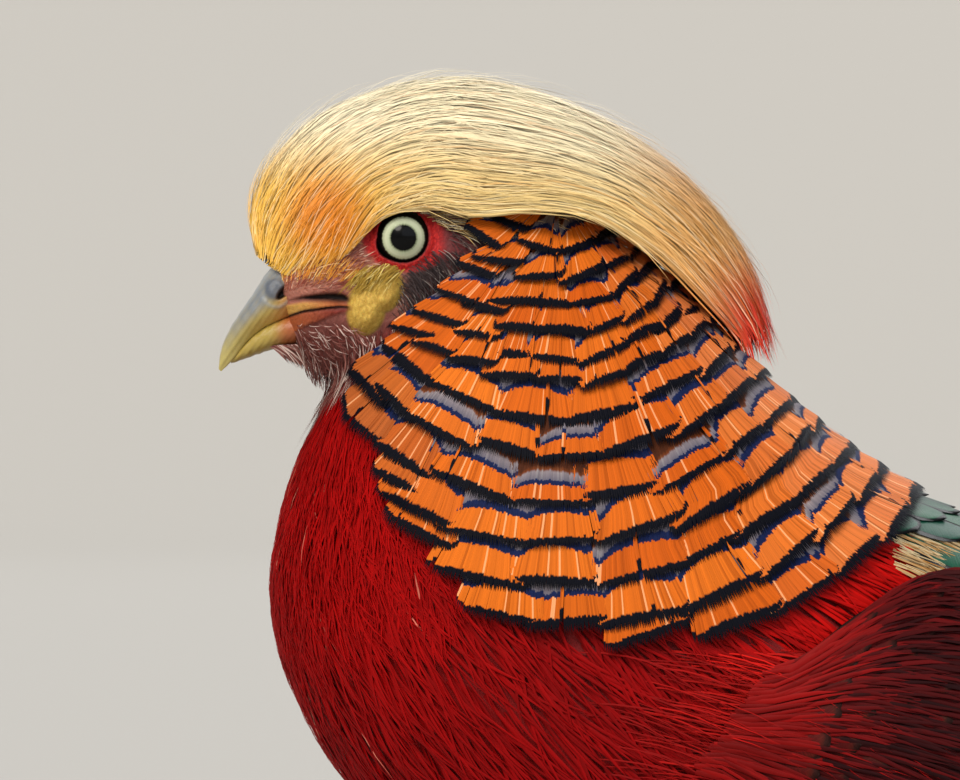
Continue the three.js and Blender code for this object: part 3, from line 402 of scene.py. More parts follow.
def skin_colours():
    colours = blend(SKIN_PINK, SKIN_MAUVE, ease(3.0, 8.0, x))
    for colour, share in (
            ("#c08a70", ease(-12, -20, x) * ease(272, 278, z) * 0.6),
            (SKIN_CHIN, ease(271.5, 267.5, z) * 0.9),
            ("#b0552c", ease(-19, -23, x) * ease(270.5, 268, z) * 0.8)):
        colours = blend(colours, colour, share)
    ear = ease(1.2, 0.7, oval(x, z, *EAR, 12))
    colours = blend(colours, SKIN_EAR, ear * 0.92)
    colours = blend(colours, "#6a1c20", ease(1.2, 0.6, oval(x, z, *BEHIND_EYE)) * 0.9)
    colours = blend(colours, blend(SKIN_RED, SKIN_BEAD, beads), red_patch * ease(9.4, 6.6, x))
    # The wattle is yellow; its fold tops are painted lighter as painted highlight and its creases darker as
    # painted shade.
    wattle = blend(WATTLE_CREASE_SHADE, WATTLE_LIT_YELLOW, np.clip(0.25 + 0.75 * folds + 0.2 * fine_folds, 0, 1))
    # Near its edge the lobe is darkened: a painted shadow round the lobe.
    wattle = blend(wattle, "#8c6a2c", ease(0.8, 1.05, lobe) * 0.6)
    wattle = blend(wattle, "#a48434", ease(272.5, 277.0, z) * 0.8)
    colours = colours + (wattle - colours) * in_lobe[..., None]
    rim = blend("#b8602e", "#c8984a", ease(-13, -22, x))
    colours = colours + (rim - colours) * (gape_rim * 0.95)[..., None]
    jaw = blend("#7c261e", "#a8542c", ease(-12, -22, x))
    colours = colours + (jaw - colours) * (jaw_rim * 0.9)[..., None]
    # The fold over the gape and the mouth line are painted near black: painted shade in the creases.
    colours = blend(colours, "#1a0c0a", np.clip(groove * 1.3 + mouth_line * 1.1, 0, 1))
    # The lid's edge is drawn as a dark line, and the sunk skin inside the opening is painted near black as
    # shade.
    lid = np.exp(-(((eye_rim - EYE_OPENING - 0.1) / 0.42) ** 2))
    colours = blend(colours, "#0e0a0a", np.clip(lid * 1.6, 0, 1))
    colours = blend(colours, "#050404", opening)
    # Under the feathers the skin is painted in those darker coat tones, as painted shade.
    green, gold = body_zone(grid_s, grid_angle)
    coat = blend(SKIN_UNDER_SCARLET, SKIN_UNDER_GREEN, green)
    coat = blend(coat, SKIN_UNDER_GOLD, gold)
    return colours + (coat - colours) * (1 - on_face)[..., None]


# Bare skin: soft and half matt, lit a little from within, mottled and finely wrinkled.
bare_skin, tree, shader = blank_material("bare_bird_skin")
hue = add_node(tree, "ShaderNodeAttribute", {"attribute_name": "hue"})
mottle = add_node(tree, "ShaderNodeTexNoise", links={"Scale": 900.0, "Detail": 4.0, "Roughness": 0.6})
grain = add_node(tree, "ShaderNodeMapRange", links={
    "Value": mottle.outputs["Fac"], "From Min": 0.3, "From Max": 0.7, "To Min": 0.72, "To Max": 1.2})
tinted = add_node(tree, "ShaderNodeVectorMath", {"operation": "SCALE"},
                  {0: hue.outputs["Color"], "Scale": grain.outputs["Result"]})
# Cells about a tenth of a millimetre across give the face its fine leathery bump.
cells = add_node(tree, "ShaderNodeTexVoronoi", links={"Scale": 2400.0})
bump = add_node(tree, "ShaderNodeBump", links={
    "Strength": 0.25, "Distance": 0.0003, "Height": cells.outputs["Distance"]})
set_inputs(shader, {
    "Base Color": tinted.outputs["Vector"], "Normal": bump.outputs["Normal"], "Roughness": 0.52,
    "Specular IOR Level": 0.25, "Subsurface Weight": 0.15, "Subsurface Radius": (0.0012, 0.0005, 0.0003)})

# The thighs are the same skin, carried down to the hocks.
FOOT_X = 95.0
FOOT_Y = 25.0
HOCK_X = FOOT_X + 24.0
HOCK_Z = 81.0
# Each row is one section from the hock up: x and z of its middle, half its length and its width, y of
# its middle, and how far it tips up behind.
THIGH = np.array([
    [HOCK_X + 0.1, HOCK_Z + 4.2, 5.4, 4.9, FOOT_Y, -0.26],
    [HOCK_X - 4.0, HOCK_Z + 17.0, 8.6, 7.0, FOOT_Y + 0.6, 0.0],
    [HOCK_X - 14.0, HOCK_Z + 30.0, 16.0, 11.0, FOOT_Y + 2.4, 0.25],
    [HOCK_X - 23.0, HOCK_Z + 46.0, 25.0, 15.5, FOOT_Y + 4.0, 0.3],
    [HOCK_X - 30.0, HOCK_Z + 64.0, 31.0, 18.5, FOOT_Y + 5.5, 0.3],
    [HOCK_X - 34.0, HOCK_Z + 82.0, 25.0, 15.0, FOOT_Y + 6.0, 0.3],
])
THIGH_LAST = len(THIGH) - 1


def thigh_point(s, angle, out=0.0):
    """A point on the left thigh: s 0 at the hock to THIGH_LAST in the belly, the angle from behind."""
    s, angle, out = arrays(s, angle, out)
    mid_x, mid_z, long, wide, mid_y, tilt = np.moveaxis(spline(THIGH, s / THIGH_LAST), -1, 0)
    c, d = np.cos(angle), np.sin(angle)
    push = unit(np.stack([c / long, -d / wide, c * tilt / long], -1))
    flat = np.stack([mid_x + long * c * 0.95, -mid_y - wide * d, mid_z + long * c * tilt], -1)
    return flat + push * out[..., None]


def capped(points):
    """Points and faces of a tube of rings with a fan over both ends; the two end points come last."""
    rows, columns = points.shape[:2]
    faces = grid_faces(rows, columns, True)
    ring = np.arange(columns)
    turn = (ring + 1) % columns
    count = rows * columns
    end = (rows - 1) * columns
    first = np.stack([ring, np.full(columns, count), turn], -1)
    last = np.stack([end + ring, end + turn, np.full(columns, count + 1)], -1)
    closed = np.vstack([points.reshape(-1, 3), points[0].mean(0), points[-1].mean(0)])
    return closed, [faces, np.vstack([first, last])]


def facing_out(faces, flip):
    """Faces of a shape that flip may mirror, turned round where it does."""
    return [f[:, ::-1] for f in faces] if flip[1] < 0 else faces


# Each side's name, and what turns the left side's shapes into that side's.
SIDES = (("left", np.array([1.0, 1.0, 1.0])), ("right", np.array([1.0, -1.0, 1.0])))
THIGH_ROWS = 24
THIGH_COLUMNS = 40
# The skin under the thigh feathers is a darker red: painted shade under them.
SKIN_UNDER_THIGH = "#74200e"

points, faces = capped(skin_points)
flat_colours = skin_colours().reshape(-1, 3)
colours = np.vstack([flat_colours, flat_colours[0], flat_colours[-1]])
thigh_s = np.linspace(0, THIGH_LAST, THIGH_ROWS)[:, None]
thigh = thigh_point(thigh_s, full_turn(THIGH_COLUMNS)[None], -1.0)
for left, flip in SIDES:
    more, more_faces = capped(thigh * flip)
    faces = faces + [f + len(points) for f in facing_out(more_faces, flip)]
    points = np.vstack([points, more])
    colours = np.vstack([colours, np.tile(linear(SKIN_UNDER_THIGH), (len(more), 1))])
skin = mesh_piece("skin", points, faces, bare_skin, {"hue": colours})
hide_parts("head", "neck", "torso", "thigh_left", "thigh_right")

# Eyes
# Wet balls with a pale greenish iris round a black pupil, set in the skin so that the lids overlap
# their rims. The clear front bulges a little and is what gives the sharp light on the pupil.

PUPIL_RADIUS = 2.6
LID_CONTACT = 4.9
EYE_ROWS = 49
EYE_COLUMNS = 64
pupil_edge = PUPIL_RADIUS / EYEBALL_RADIUS
eye_out = eye_side + 0.5 - math.sqrt(EYEBALL_RADIUS**2 - LID_CONTACT**2)


def fill_ramp(ramp, stops):
    """Sets a ramp's stops, each a position from 0 to 1, an sRGB hex colour and an opacity."""
    elements = ramp.color_ramp.elements
    for at, (position, colour, opacity) in enumerate(stops):
        element = elements[at] if at < 2 else elements.new(1.0)
        element.position = position
        element.color = (*linear(colour), opacity)


# A wet eye: the thin clear coat over soft colour gives one small sharp light on a dull iris.
eye_gloss, tree, shader = blank_material("wet_eye")
spot = add_node(tree, "ShaderNodeAttribute", {"attribute_name": "from_axis"})
rays = add_node(tree, "ShaderNodeAttribute", {"attribute_name": "turn"})
streak = add_node(tree, "ShaderNodeTexNoise", {"noise_dimensions": "1D"}, {
    "W": rays.outputs["Fac"], "Scale": 9.0})
wander = add_node(tree, "ShaderNodeMath", {"operation": "MULTIPLY_ADD"}, {
    0: streak.outputs["Fac"], 1: 0.25, 2: spot.outputs["Fac"]})
share = add_node(tree, "ShaderNodeMath", {"operation": "DIVIDE"}, {
    0: wander.outputs["Value"], 1: EYEBALL_RADIUS})
ramp = add_node(tree, "ShaderNodeValToRGB", links={"Fac": share.outputs["Value"]})
fill_ramp(ramp, [
    (0.0, "#040404", 1.0), (pupil_edge, "#050505", 1.0), (pupil_edge + 0.03, "#7c8468", 1.0),
    (0.50, "#bcc6a4", 1.0), (0.60, "#cdd4b4", 1.0), (0.685, "#b2ba98", 1.0), (0.72, "#20201a", 1.0),
    (0.76, "#050404", 1.0)])
set_inputs(shader, {
    "Base Color": ramp.outputs["Color"], "Roughness": 0.3, "Specular IOR Level": 0.06, "Coat Weight": 0.16,
    "Coat Roughness": 0.03})

fall, turn = np.meshgrid(np.linspace(0.0, math.pi, EYE_ROWS)[1:-1], full_turn(EYE_COLUMNS), indexing="ij")
away = EYEBALL_RADIUS * np.sin(fall)
in_front = fall < 1.6
bulge = 0.35 * np.exp(-((away / 4.2) ** 2)) * in_front
ball = np.stack([away * np.cos(turn), -(EYEBALL_RADIUS * np.cos(fall) + bulge), away * np.sin(turn)], -1)
from_axis = np.append(np.where(in_front, away, EYEBALL_RADIUS).ravel(), [0.0, EYEBALL_RADIUS])
turns = np.append(turn.ravel(), [0.0, 0.0])
for left, flip in SIDES:
    points, faces = capped((ball + np.array([0.0, -eye_out, EYE_HEIGHT])) * flip)
    ball_piece = mesh_piece("eye_" + left + "_ball", points, facing_out(faces, flip), eye_gloss, {
        "from_axis": from_axis, "turn": turns})
    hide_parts("eye_" + left)

# Bill
# A horn sheath over both jaws, yellow, with a painted blue-grey sheen on the ridge and upper side and a
# painted highlight along the ridge; worn smooth at the tip and flaking a little at the root, where the bare
# skin of the gape meets it.

# Sections like the body's, from the root to the tip.
BILL_UPPER = np.array([
    [-24.5, 280.6, -15.0, 270.9, 5.6],
    [-27.6, 278.4, -20.0, 270.2, 5.5],
    [-30.3, 274.2, -25.0, 268.4, 4.8],
    [-32.9, 270.4, -29.0, 266.5, 3.9],
    [-35.2, 266.8, -32.0, 263.8, 2.9],
    [-36.7, 263.4, -34.3, 261.0, 1.9],
    [-37.3, 260.3, -36.2, 259.3, 1.0],
    [-37.4, 258.7, -37.1, 258.5, 0.35],
])
BILL_LOWER = np.array([
    [-14.0, 271.0, -15.5, 265.2, 5.2],
    [-20.0, 270.6, -21.0, 264.0, 5.0],
    [-25.0, 269.2, -26.0, 263.0, 4.1],
    [-28.8, 267.4, -29.5, 261.9, 3.1],
    [-31.8, 264.8, -32.3, 260.9, 2.1],
    [-34.6, 261.6, -35.0, 260.0, 0.9],
])
NOSTRIL = (-24.2, 274.3)
NOSTRIL_FLAP = (-26.0, 274.9)
BILL_SQUARE = 2.1

# Bill horn: smooth and slightly translucent, so it looks waxy, with a faint flaky grain.
horn, tree, shader = blank_material("bill_horn")
hue = add_node(tree, "ShaderNodeAttribute", {"attribute_name": "hue"})
layers = add_node(tree, "ShaderNodeTexNoise", links={
    "Scale": 260.0, "Detail": 6.0, "Roughness": 0.62, "Distortion": 0.8})
grain = add_node(tree, "ShaderNodeMapRange", links={
    "Value": layers.outputs["Fac"], "From Min": 0.3, "From Max": 0.72, "To Min": 0.78, "To Max": 1.14})
tinted = add_node(tree, "ShaderNodeVectorMath", {"operation": "SCALE"},
                  {0: hue.outputs["Color"], "Scale": grain.outputs["Result"]})
bump = add_node(tree, "ShaderNodeBump", links={
    "Strength": 0.2, "Distance": 0.0003, "Height": layers.outputs["Fac"]})
set_inputs(shader, {
    "Base Color": tinted.outputs["Vector"], "Normal": bump.outputs["Normal"], "Roughness": 0.36,
    "Subsurface Weight": 0.1, "Subsurface Radius": (0.0012, 0.0008, 0.0004)})


def bill_half(stations, rows, columns, upper):
    """Points and colours of one jaw, with the nostril's flap, slit and rim on the upper one."""
    s = np.linspace(0, len(stations) - 1, rows)
    s, angle = np.meshgrid(s, full_turn(columns), indexing="ij")
    flat = section_point(stations, BILL_SQUARE, s, angle)
    x, z = flat[..., 0], flat[..., 2]
    high = np.cos(angle)
    on_side = ease(0.2, 0.55, np.abs(np.sin(angle)))
    mottle = 0.5 + 0.25 * np.sin(x * 2.3 + z * 1.1) + 0.25 * np.sin(x * 5.1 - z * 3.7 + 1.3)
    if not upper:
        out = 0.15 * mottle
        colours = blend("#a8562c", "#b09848", ease(0.9, 2.6, s))
        colours = blend(colours, "#8a7434", 0.3 * ease(-0.2, -0.9, high))
        colours = blend(colours, "#b06034", ease(-26.5, -22.6, x) * 0.85)
        return section_point(stations, BILL_SQUARE, s, angle, out), colours
    flap = oval(x, z, *NOSTRIL_FLAP, 2.1, 2.3, -20)
    slit = oval(x, z, *NOSTRIL, 1.9, 0.8, 48)
    rim = np.exp(-(((oval(x, z, -25.6, 274.6, 3.0, 3.3, -20) - 1) / 0.12) ** 2))
    rim = rim * ease(274.0, 272.4, z)
    out = 0.45 * ease(1.15, 0.5, flap) - 1.7 * ease(1.15, 0.6, slit) + 0.14 * rim
    out = on_side * out + 0.12 * mottle
    # The cutting edge turns out a little along the whole jaw.
    out += 0.25 * np.exp(-(((np.abs(np.sin(angle)) - 0.62) / 0.2) ** 2)) * (high < 0)
    colours = blend("#b8a052", "#c4b46a", ease(2, 6, s))
    colours = blend(colours, "#8c7c40", 0.22 * mottle * ease(7, 3, s))
    # The upper side gets a painted blue-grey sheen, and the top of the ridge a paler painted highlight.
    painted_sheen = ease(6.2, 2.2, s) * ease(-0.3, 0.45, high) * (0.82 + 0.18 * mottle)
    for colour, share in (
            ("#74808f", 0.9 * painted_sheen),
            ("#b4b8b8", 0.6 * ease(0.75, 0.98, high) * ease(6.5, 3, s)),
            ("#6c4c34", 0.6 * ease(1.6, 0.6, s) * ease(0.6, 0.0, high) * mottle),
            ("#c8984a", 0.85 * ease(-0.1, -0.6, high) * ease(4, 1, s)),
            ("#bc8444", 0.9 * ease(-27.0, -23.4, x) * ease(276.0, 272.6, z)),
            ("#59616e", 0.85 * ease(1.1, 0.7, flap) * on_side),
            ("#98a0a4", 0.5 * np.clip(rim, 0, 1) * on_side),
            # The nostril's slit is painted near black as shade in the hole.
            ("#1c100c", 0.97 * ease(1.3, 0.85, slit) * on_side)):
        colours = blend(colours, colour, share)
    return section_point(stations, BILL_SQUARE, s, angle, out), colours


for jaw, stations, rows, columns in (("upper", BILL_UPPER, 110, 120), ("lower", BILL_LOWER, 60, 80)):
    grid, colours = bill_half(stations, rows, columns, jaw == "upper")
    points, faces = capped(grid)
    colours = np.vstack([colours.reshape(-1, 3), colours[0].mean(0), colours[-1].mean(0)])
    half = mesh_piece("bill_" + jaw + "_horn", points, faces, horn, {"hue": colours})
    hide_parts("bill_" + jaw)

# Cape
# Rings of broad, square-ended feathers round the nape, drawn forward over the cheeks. Each is orange
# with a blue-black bar on its end and a steel-blue one further in, and its barbs run out to the end
# like the teeth of a comb.

CAPE_CENTRE = np.array([31.3, 294.6])
CAPE_ROW_STEP = 7.9
CAPE_FEATHER = 15.0
CAPE_LENGTH = 25.0
CAPE_BARBS = 51
CAPE_STEPS = np.array([0.0, 0.34, 0.58, 0.78, 0.92, 1.0])
CAPE_TAPER = np.array([0.8, 1.0, 1.0, 1.0, 0.95, 0.5])
CAPE_EDGE = np.array([[-20, 101], [38, 101], [45, 100.5], [64, 96], [82, 91], [98, 87], [106, 82], [112, 76],
                      [120, 71], [129, 65], [136, 57], [141, 46], [180, 46]], float)
RING_FIRST = 2.0
RING_STEP = 2.0
RING_COUNT = 55
RING_POINTS = 97


def front_angle(r):
    """Where a ring of the cape ends at the front, in degrees below the horizontal behind."""
    r = np.asarray(r, float)
    near = np.interp(r, [18, 28], [164, 140])
    return np.where(r < 50, near, 140 - (r - 50) * 0.34)


def cape_rings():
    """The rings' points, evenly spaced from the middle of the back round the left side to the front."""
    radii = RING_FIRST + RING_STEP * np.arange(RING_COUNT)
    low, high = np.full(RING_COUNT, -60.0), np.full(RING_COUNT, 90.0)

    def width(degrees, r):
        a = np.radians(degrees)
        return body_half_width(CAPE_CENTRE[0] + r * np.cos(a), CAPE_CENTRE[1] - r * np.sin(a))

    for _ in range(HALVINGS):
        middle = (low + high) / 2
        on_body = width(middle, radii) > 0
        low, high = np.where(on_body, low, middle), np.where(on_body, middle, high)
    share = np.linspace(0, 1, 321) ** 2
    angles = high[:, None] + (front_angle(radii) - high)[:, None] * share
    wide = width(angles, radii[:, None])
    wide[:, 0] = 0
    a = np.radians(angles)
    fine = np.stack([
        CAPE_CENTRE[0] + radii[:, None] * np.cos(a), -wide, CAPE_CENTRE[1] - radii[:, None] * np.sin(a)], -1)
    steps = np.linalg.norm(np.diff(fine, axis=1), axis=-1)
    run = np.concatenate([np.zeros((RING_COUNT, 1)), np.cumsum(steps, axis=1)], axis=1)
    even = np.linspace(0, 1, RING_POINTS)
    rings = [np.stack([np.interp(even * run[k, -1], run[k], fine[k, :, c]) for c in range(3)], -1)
             for k in range(RING_COUNT)]
    return np.array(rings), run[:, -1]


cape_grid, cape_lengths = cape_rings()


def cape_length(r):
    """The length of the ring of radius r from the middle of the back to its front end."""
    return np.interp(r, RING_FIRST + RING_STEP * np.arange(RING_COUNT), cape_lengths)


def cape_flat(q, r):
    """A point on the cape's ground, between the rings and mirrored where q is negative."""
    q, r = arrays(q, r)
    at_r = np.clip((r - RING_FIRST) / RING_STEP, 0, RING_COUNT - 1.001)
    at_q = np.clip(np.abs(q), 0, 1.3) * (RING_POINTS - 1)
    i = at_r.astype(int)
    j = np.clip(at_q.astype(int), 0, RING_POINTS - 2)
    w, t = (at_r - i)[..., None], (at_q - j)[..., None]
    near = cape_grid[i, j] * (1 - t) + cape_grid[i, j + 1] * t
    far = cape_grid[i + 1, j] * (1 - t) + cape_grid[i + 1, j + 1] * t
    flat = near * (1 - w) + far * w
    return flat * np.stack([np.ones(q.shape), np.where(q < 0, -1.0, 1.0), np.ones(q.shape)], -1)


def cape_point(q, r, out=0.0):
    """A point above the cape's ground: q 0 at the middle of the back to 1 at the front, r the ring."""
    across = cape_flat(q + 0.015, r) - cape_flat(q - 0.015, r)
    along = cape_flat(q, r + 2) - cape_flat(q, r - 2)
    return cape_flat(q, r) + unit(np.cross(across, along)) * np.asarray(out)[..., None]


def cape_limit(angle):
    """How far from its centre the cape reaches in a direction seen from the side."""
    return np.interp(angle, CAPE_EDGE[:, 0], CAPE_EDGE[:, 1])


def on_surface(point, first, second, rise):
    """Places so high over the surface that point(first, second, rise) gives, and the way out there."""
    places = point(first, second, rise)
    return places, point(first, second, rise + 1) - places


def seen_angle(points):
    """The direction of points from the cape's centre, seen from the side, in degrees."""
    return np.degrees(np.arctan2(CAPE_CENTRE[1] - points[..., 2], points[..., 0] - CAPE_CENTRE[0]))


cape_angles = seen_angle(cape_grid)


def cape_share(angle, r):
    """The q at which a ring passes a direction from the centre, seen from the side."""
    at_r = np.clip((r - RING_FIRST) / RING_STEP, 0, RING_COUNT - 1.001)
    ring = at_r.astype(int)
    near, far = np.zeros(angle.shape), np.zeros(angle.shape)
    even = np.linspace(0, 1, RING_POINTS)
    for k in range(RING_COUNT - 1):
        here = ring == k
        if here.any():
            near[here] = np.interp(angle[here], cape_angles[k], even)
            far[here] = np.interp(angle[here], cape_angles[k + 1], even)
    return near + (far - near) * (at_r - ring)


def strand_piece(
        name, paths, ups, half_widths, ridge, material, hue, shade, roots, patch=(0.003, 0.003),
        from_end=None):
    """Many tapered barbs as one mesh. Each is a thin three-sided strand along its path to a point.

    paths and ups are (strands, points, 3) and half_widths (strands, points). hue is (strands, 3) or
    (strands, points, 3), shade (strands,); roots are the strands' places on the skin's unwrap.
    """
    count, steps = paths.shape[:2]
    along = np.gradient(paths, axis=1)
    side = unit(np.cross(along, ups))
    rise = unit(np.cross(side, along))
    half_widths = np.broadcast_to(half_widths, (count, steps))[..., None]
    across = side * half_widths
    ring = np.stack([paths - across, paths + across, paths + rise * half_widths * ridge], 2)
    points = np.concatenate([ring[:, :-1].reshape(count, -1, 3), paths[:, -1:]], 1)
    # The barbs take most of their light like the surface they lie on, as a close coat does.
    out = unit(ups)
    facing = unit(np.stack([out * 0.8 - side * 0.3, out * 0.8 + side * 0.3, out], 2))
    facing = np.concatenate([facing[:, :-1].reshape(count, -1, 3), out[:, -1:]], 1).reshape(-1, 3)
    per = 3 * (steps - 1) + 1
    k = np.arange(steps - 2)[:, None] * 3
    quads = np.concatenate([k + np.array(q) for q in ((0, 2, 5, 3), (2, 1, 4, 5), (1, 0, 3, 4))])
    last = 3 * (steps - 2)
    tris = np.array([
        [0, 1, 2], [last, last + 2, per - 1], [last + 2, last + 1, per - 1], [last + 1, last, per - 1]])
    start = (np.arange(count) * per)[:, None, None]
    faces = [(quads[None] + start).reshape(-1, 4), (tris[None] + start).reshape(-1, 3)]
    step_of = np.append(np.repeat(np.arange(steps - 1), 3), steps - 1)
    hue = np.asarray(hue, float)
    hue = hue[:, step_of] if hue.ndim == 3 else np.repeat(hue[:, None], per, 1)
    spread = {"hue": hue.reshape(-1, 3), "shade": np.repeat(shade, per)}
    if from_end is not None:
        spread["from_end"] = from_end[:, step_of].ravel()
    offset = np.stack([np.tile([0.0, 1.0, 0.5], steps), np.repeat(np.linspace(0, 1, steps), 3)], -1)[:per]
    bake_map = (roots[:, None] + offset[None] * np.array(patch)).reshape(-1, 2)
    return mesh_piece(name, points.reshape(-1, 3), faces, material, spread, bake_map, facing)


def plumage(name, roughness, marks=(), reach=1.0, specular=0.2):
    """Keratin of a feather in its own hue and shade, with marks of (mm from the end, colour, opacity)."""
    material, tree, shader = blank_material(name)
    colour = add_node(tree, "ShaderNodeAttribute", {"attribute_name": "hue"}).outputs["Color"]
    shade = add_node(tree, "ShaderNodeAttribute", {"attribute_name": "shade"})
    if marks:
        end = add_node(tree, "ShaderNodeAttribute", {"attribute_name": "from_end"})
        share = add_node(tree, "ShaderNodeMath", {"operation": "DIVIDE"}, {0: end.outputs["Fac"], 1: reach})
        ramp = add_node(tree, "ShaderNodeValToRGB", links={"Fac": share.outputs["Value"]})
        fill_ramp(ramp, [(distance / reach, mark, strength) for distance, mark, strength in marks])
        marked = add_node(tree, "ShaderNodeMix", {"data_type": "RGBA"}, {
            0: ramp.outputs["Alpha"], 6: colour, 7: ramp.outputs["Color"]})
        colour = marked.outputs[2]
    toned = add_node(tree, "ShaderNodeVectorMath", {"operation": "SCALE"}, {
        0: colour, "Scale": shade.outputs["Fac"]})
    set_inputs(shader, {
        "Base Color": toned.outputs["Vector"], "Roughness": roughness, "Specular IOR Level": specular})
    return material


def cape_feathers():
    """Every cape feather of one side: its middle q, its end r, its half width and which row it is in."""
    feathers = []
    rings = np.append(np.arange(15.0, 43.0, 5.4), np.arange(48.6, 101.5, CAPE_ROW_STEP))
    for row, r in enumerate(rings):
        length = cape_length(r)
        count = max(3, round(length / (CAPE_FEATHER if r > 44 else CAPE_FEATHER * 0.62)))
        for i in range(count):
            q = (i + 0.5 * (row % 2) + 0.25 + draw.uniform(-0.1, 0.1)) / count
            if q < 1.02:
                feathers.append((q, r + draw.uniform(-0.9, 0.9), draw.uniform(1.15, 1.45) / count / 2, row))
    return np.array(feathers).T


# Orange keratin, satin along the barbs; the bars are dense melanin with a dull blue gloss.
cape_keratin = plumage("cape_feather_keratin", 0.6, [
    (0.0, "#04050c", 1.0), (2.5, "#060814", 1.0), (2.8, "#0a0c1c", 0.0), (7.7, "#101c44", 0.0),
    (7.9, "#101c44", 1.0), (9.5, "#14224c", 1.0), (9.8, "#506274", 0.9), (13.2, "#74808a", 0.85),
    (14.2, "#5c3018", 0.9), (16.0, "#4a2412", 1.0)], 16.0, 0.07)


def cape_side(name, flip, replaced):
    """All the feathers of one side of the cape, barb by barb, as one piece."""
    q, r, half, row = cape_feathers()
    # A feather past the cape's lower edge is drawn in to it, and one far past it is left out.
    for _ in range(3):
        limit = cape_limit(seen_angle(cape_flat(np.clip(q, 0, 1), r)))
        keep = r - limit < CAPE_ROW_STEP * 0.62
        r = np.minimum(r, limit + draw.uniform(-0.6, 0.6, len(r)))
        q, r, half, row = q[keep], r[keep], half[keep], row[keep]
    # No feather of the front edge reaches past it.
    q = np.minimum(q, 1.0 - 0.92 * half)
    count, barbs = len(q), CAPE_BARBS
    lane = np.linspace(-1, 1, barbs)[None] + draw.uniform(-0.01, 0.01, (count, barbs))
    small = np.clip(r / 52, 0.42, 1.0)[:, None]
    length = CAPE_LENGTH * small * draw.uniform(0.94, 1.06, (count, 1))
    # The short front feathers hang straighter down than the rings they stand in.
    front = ease(0.45, 0.9, q) * ease(50, 40, r) * 2.4
    slant = draw.uniform(-0.9, 0.9, (count, 1)) + (front + np.where(q > 0.55, -0.3, 0.3))[:, None]
    fuzz = draw.normal(0, 0.1, (count, barbs)) + slant * lane
    corner = -1.0 * np.clip(np.abs(lane) - 0.88, 0, 1) / 0.12
    # Here and there the barbs part, and the feather behind shows through.
    split = draw.uniform(-0.9, 0.9, (count, 1))
    parted = (np.abs(lane - split) < 0.035) & (draw.random((count, 1)) < 0.55)
    tips = r[:, None] + fuzz + corner - parted * draw.uniform(0.5, 4.0, (count, 1))
    angle_seen = seen_angle(cape_flat(np.clip(q[:, None] + lane * half[:, None], 0, 1), tips))
    tips = np.minimum(tips, cape_limit(angle_seen) + 1.8 + draw.normal(0, 0.15, (count, barbs)))
    steps = CAPE_STEPS
    reach = tips[..., None] - length[..., None] * (1 - steps)
    fan = 0.42 + 0.58 * steps**0.7
    at_q = q[:, None, None] + (lane * half[:, None])[..., None] * fan
    # On the side of the neck the barbs run straight out from the centre; on the back they keep their q.
    middle = seen_angle(cape_flat(q, r))[:, None]
    aside = seen_angle(cape_flat(q[:, None] + lane * half[:, None], r[:, None] + 0 * lane)) - middle
    straight = cape_share(middle[..., None] + aside[..., None] * fan, reach)
    at_q = at_q + (straight - at_q) * ease(0.15, 0.5, at_q[..., -1:])
    belly = 0.45 * (1 - lane[..., None] ** 2) * steps
    lift = 0.45 + 2.2 * steps**1.35 + (row[:, None, None] % 2) * 0.3 + belly
    lift = lift + draw.uniform(0, 0.35, (count, 1, 1))
    lift = np.where(steps == 0, 0.1, lift - 0.5 * (steps > 0.95))
    paths, ups = on_surface(cape_point, at_q, reach, lift)
    spacing = (half * 2 * cape_length(r) / barbs)[:, None, None] * fan
    width = np.clip(spacing * 0.66, 0.08, 0.4) * CAPE_TAPER
    width = np.broadcast_to(width, (count, barbs, 6)).reshape(-1, 6)
    fine = draw.random((count, barbs))
    end = (tips[..., None] - reach) + draw.normal(0, 0.13, (count, barbs, 1))
    end = end / draw.uniform(0.9, 1.3, (count, 1, 1)) / (0.55 + 0.45 * small[..., None])
    # In a third of them the inner bar stands nearer the end and shows past the feather above.
    inner = np.where((draw.random(count) < 0.42) & (r > 47) & (r < 92), 0.5, 1.0)[:, None, None]
    end = np.where(end > 3.5, 3.5 + (end - 3.5) / inner, end)
    # The bar is deepest in the feather's middle and runs to a point at its front corner.
    end = end * (1 + 0.3 * lane**2 + 1.6 * np.clip(lane - 0.45, 0, 1) ** 2)[..., None]
    angle = seen_angle(cape_flat(q, r))
    hue = blend("#dc701c", "#c6560e", draw.random(count))
    # Besides its own orange, the cape is painted paler high on the nape, as painted light where the light
    # falls, and darker low at the front, as painted shade.
    for colour, share in (
            ("#e08c58", ease(66, 38, angle) * 0.6),
            ("#b04e1e", ease(106, 128, angle) * ease(50, 66, r) * 0.9),
            ("#a8602e", 0.6 * ease(0.7, 0.95, q) * ease(47, 52, r))):
        hue = blend(hue, colour, share)
    hue = np.repeat(hue, barbs, 0)
    hue = blend(hue, "#f8c08c", 0.5 * (fine.ravel() > 0.95))
    hue = blend(hue, "#a84808", 0.35 * (fine.ravel() < 0.12))
    shade = 0.82 + 0.3 * fine.ravel() * draw.uniform(0.9, 1.0, count).repeat(barbs)
    roots = np.stack([np.clip(q, 0, 1) * 0.9 + 0.01, np.clip(r / 110, 0, 1) * 0.9], -1)
    roots = np.repeat(roots, barbs, 0) + np.stack([(lane.ravel() + 1) * 0.03, np.zeros(count * barbs)], -1)
    paths, ups = paths.reshape(-1, 6, 3) * flip, ups.reshape(-1, 6, 3) * flip
    piece = strand_piece(name, paths, ups, width, 0.3, cape_keratin, hue, shade, roots, (0.0012, 0.05),
                         end.reshape(-1, 6))
    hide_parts(*replaced)


for (left, flip), replaced in zip(SIDES, (("cape_left", "cape_back"), ("cape_right",))):
    cape_side("cape_" + left + "_feathers", flip, replaced)

# Crest
# A high crown of long silky golden feathers. They rise from the forehead, sweep back over the head
# and end loose over the cape, where their tips turn red; single barbs stand off along the outline.

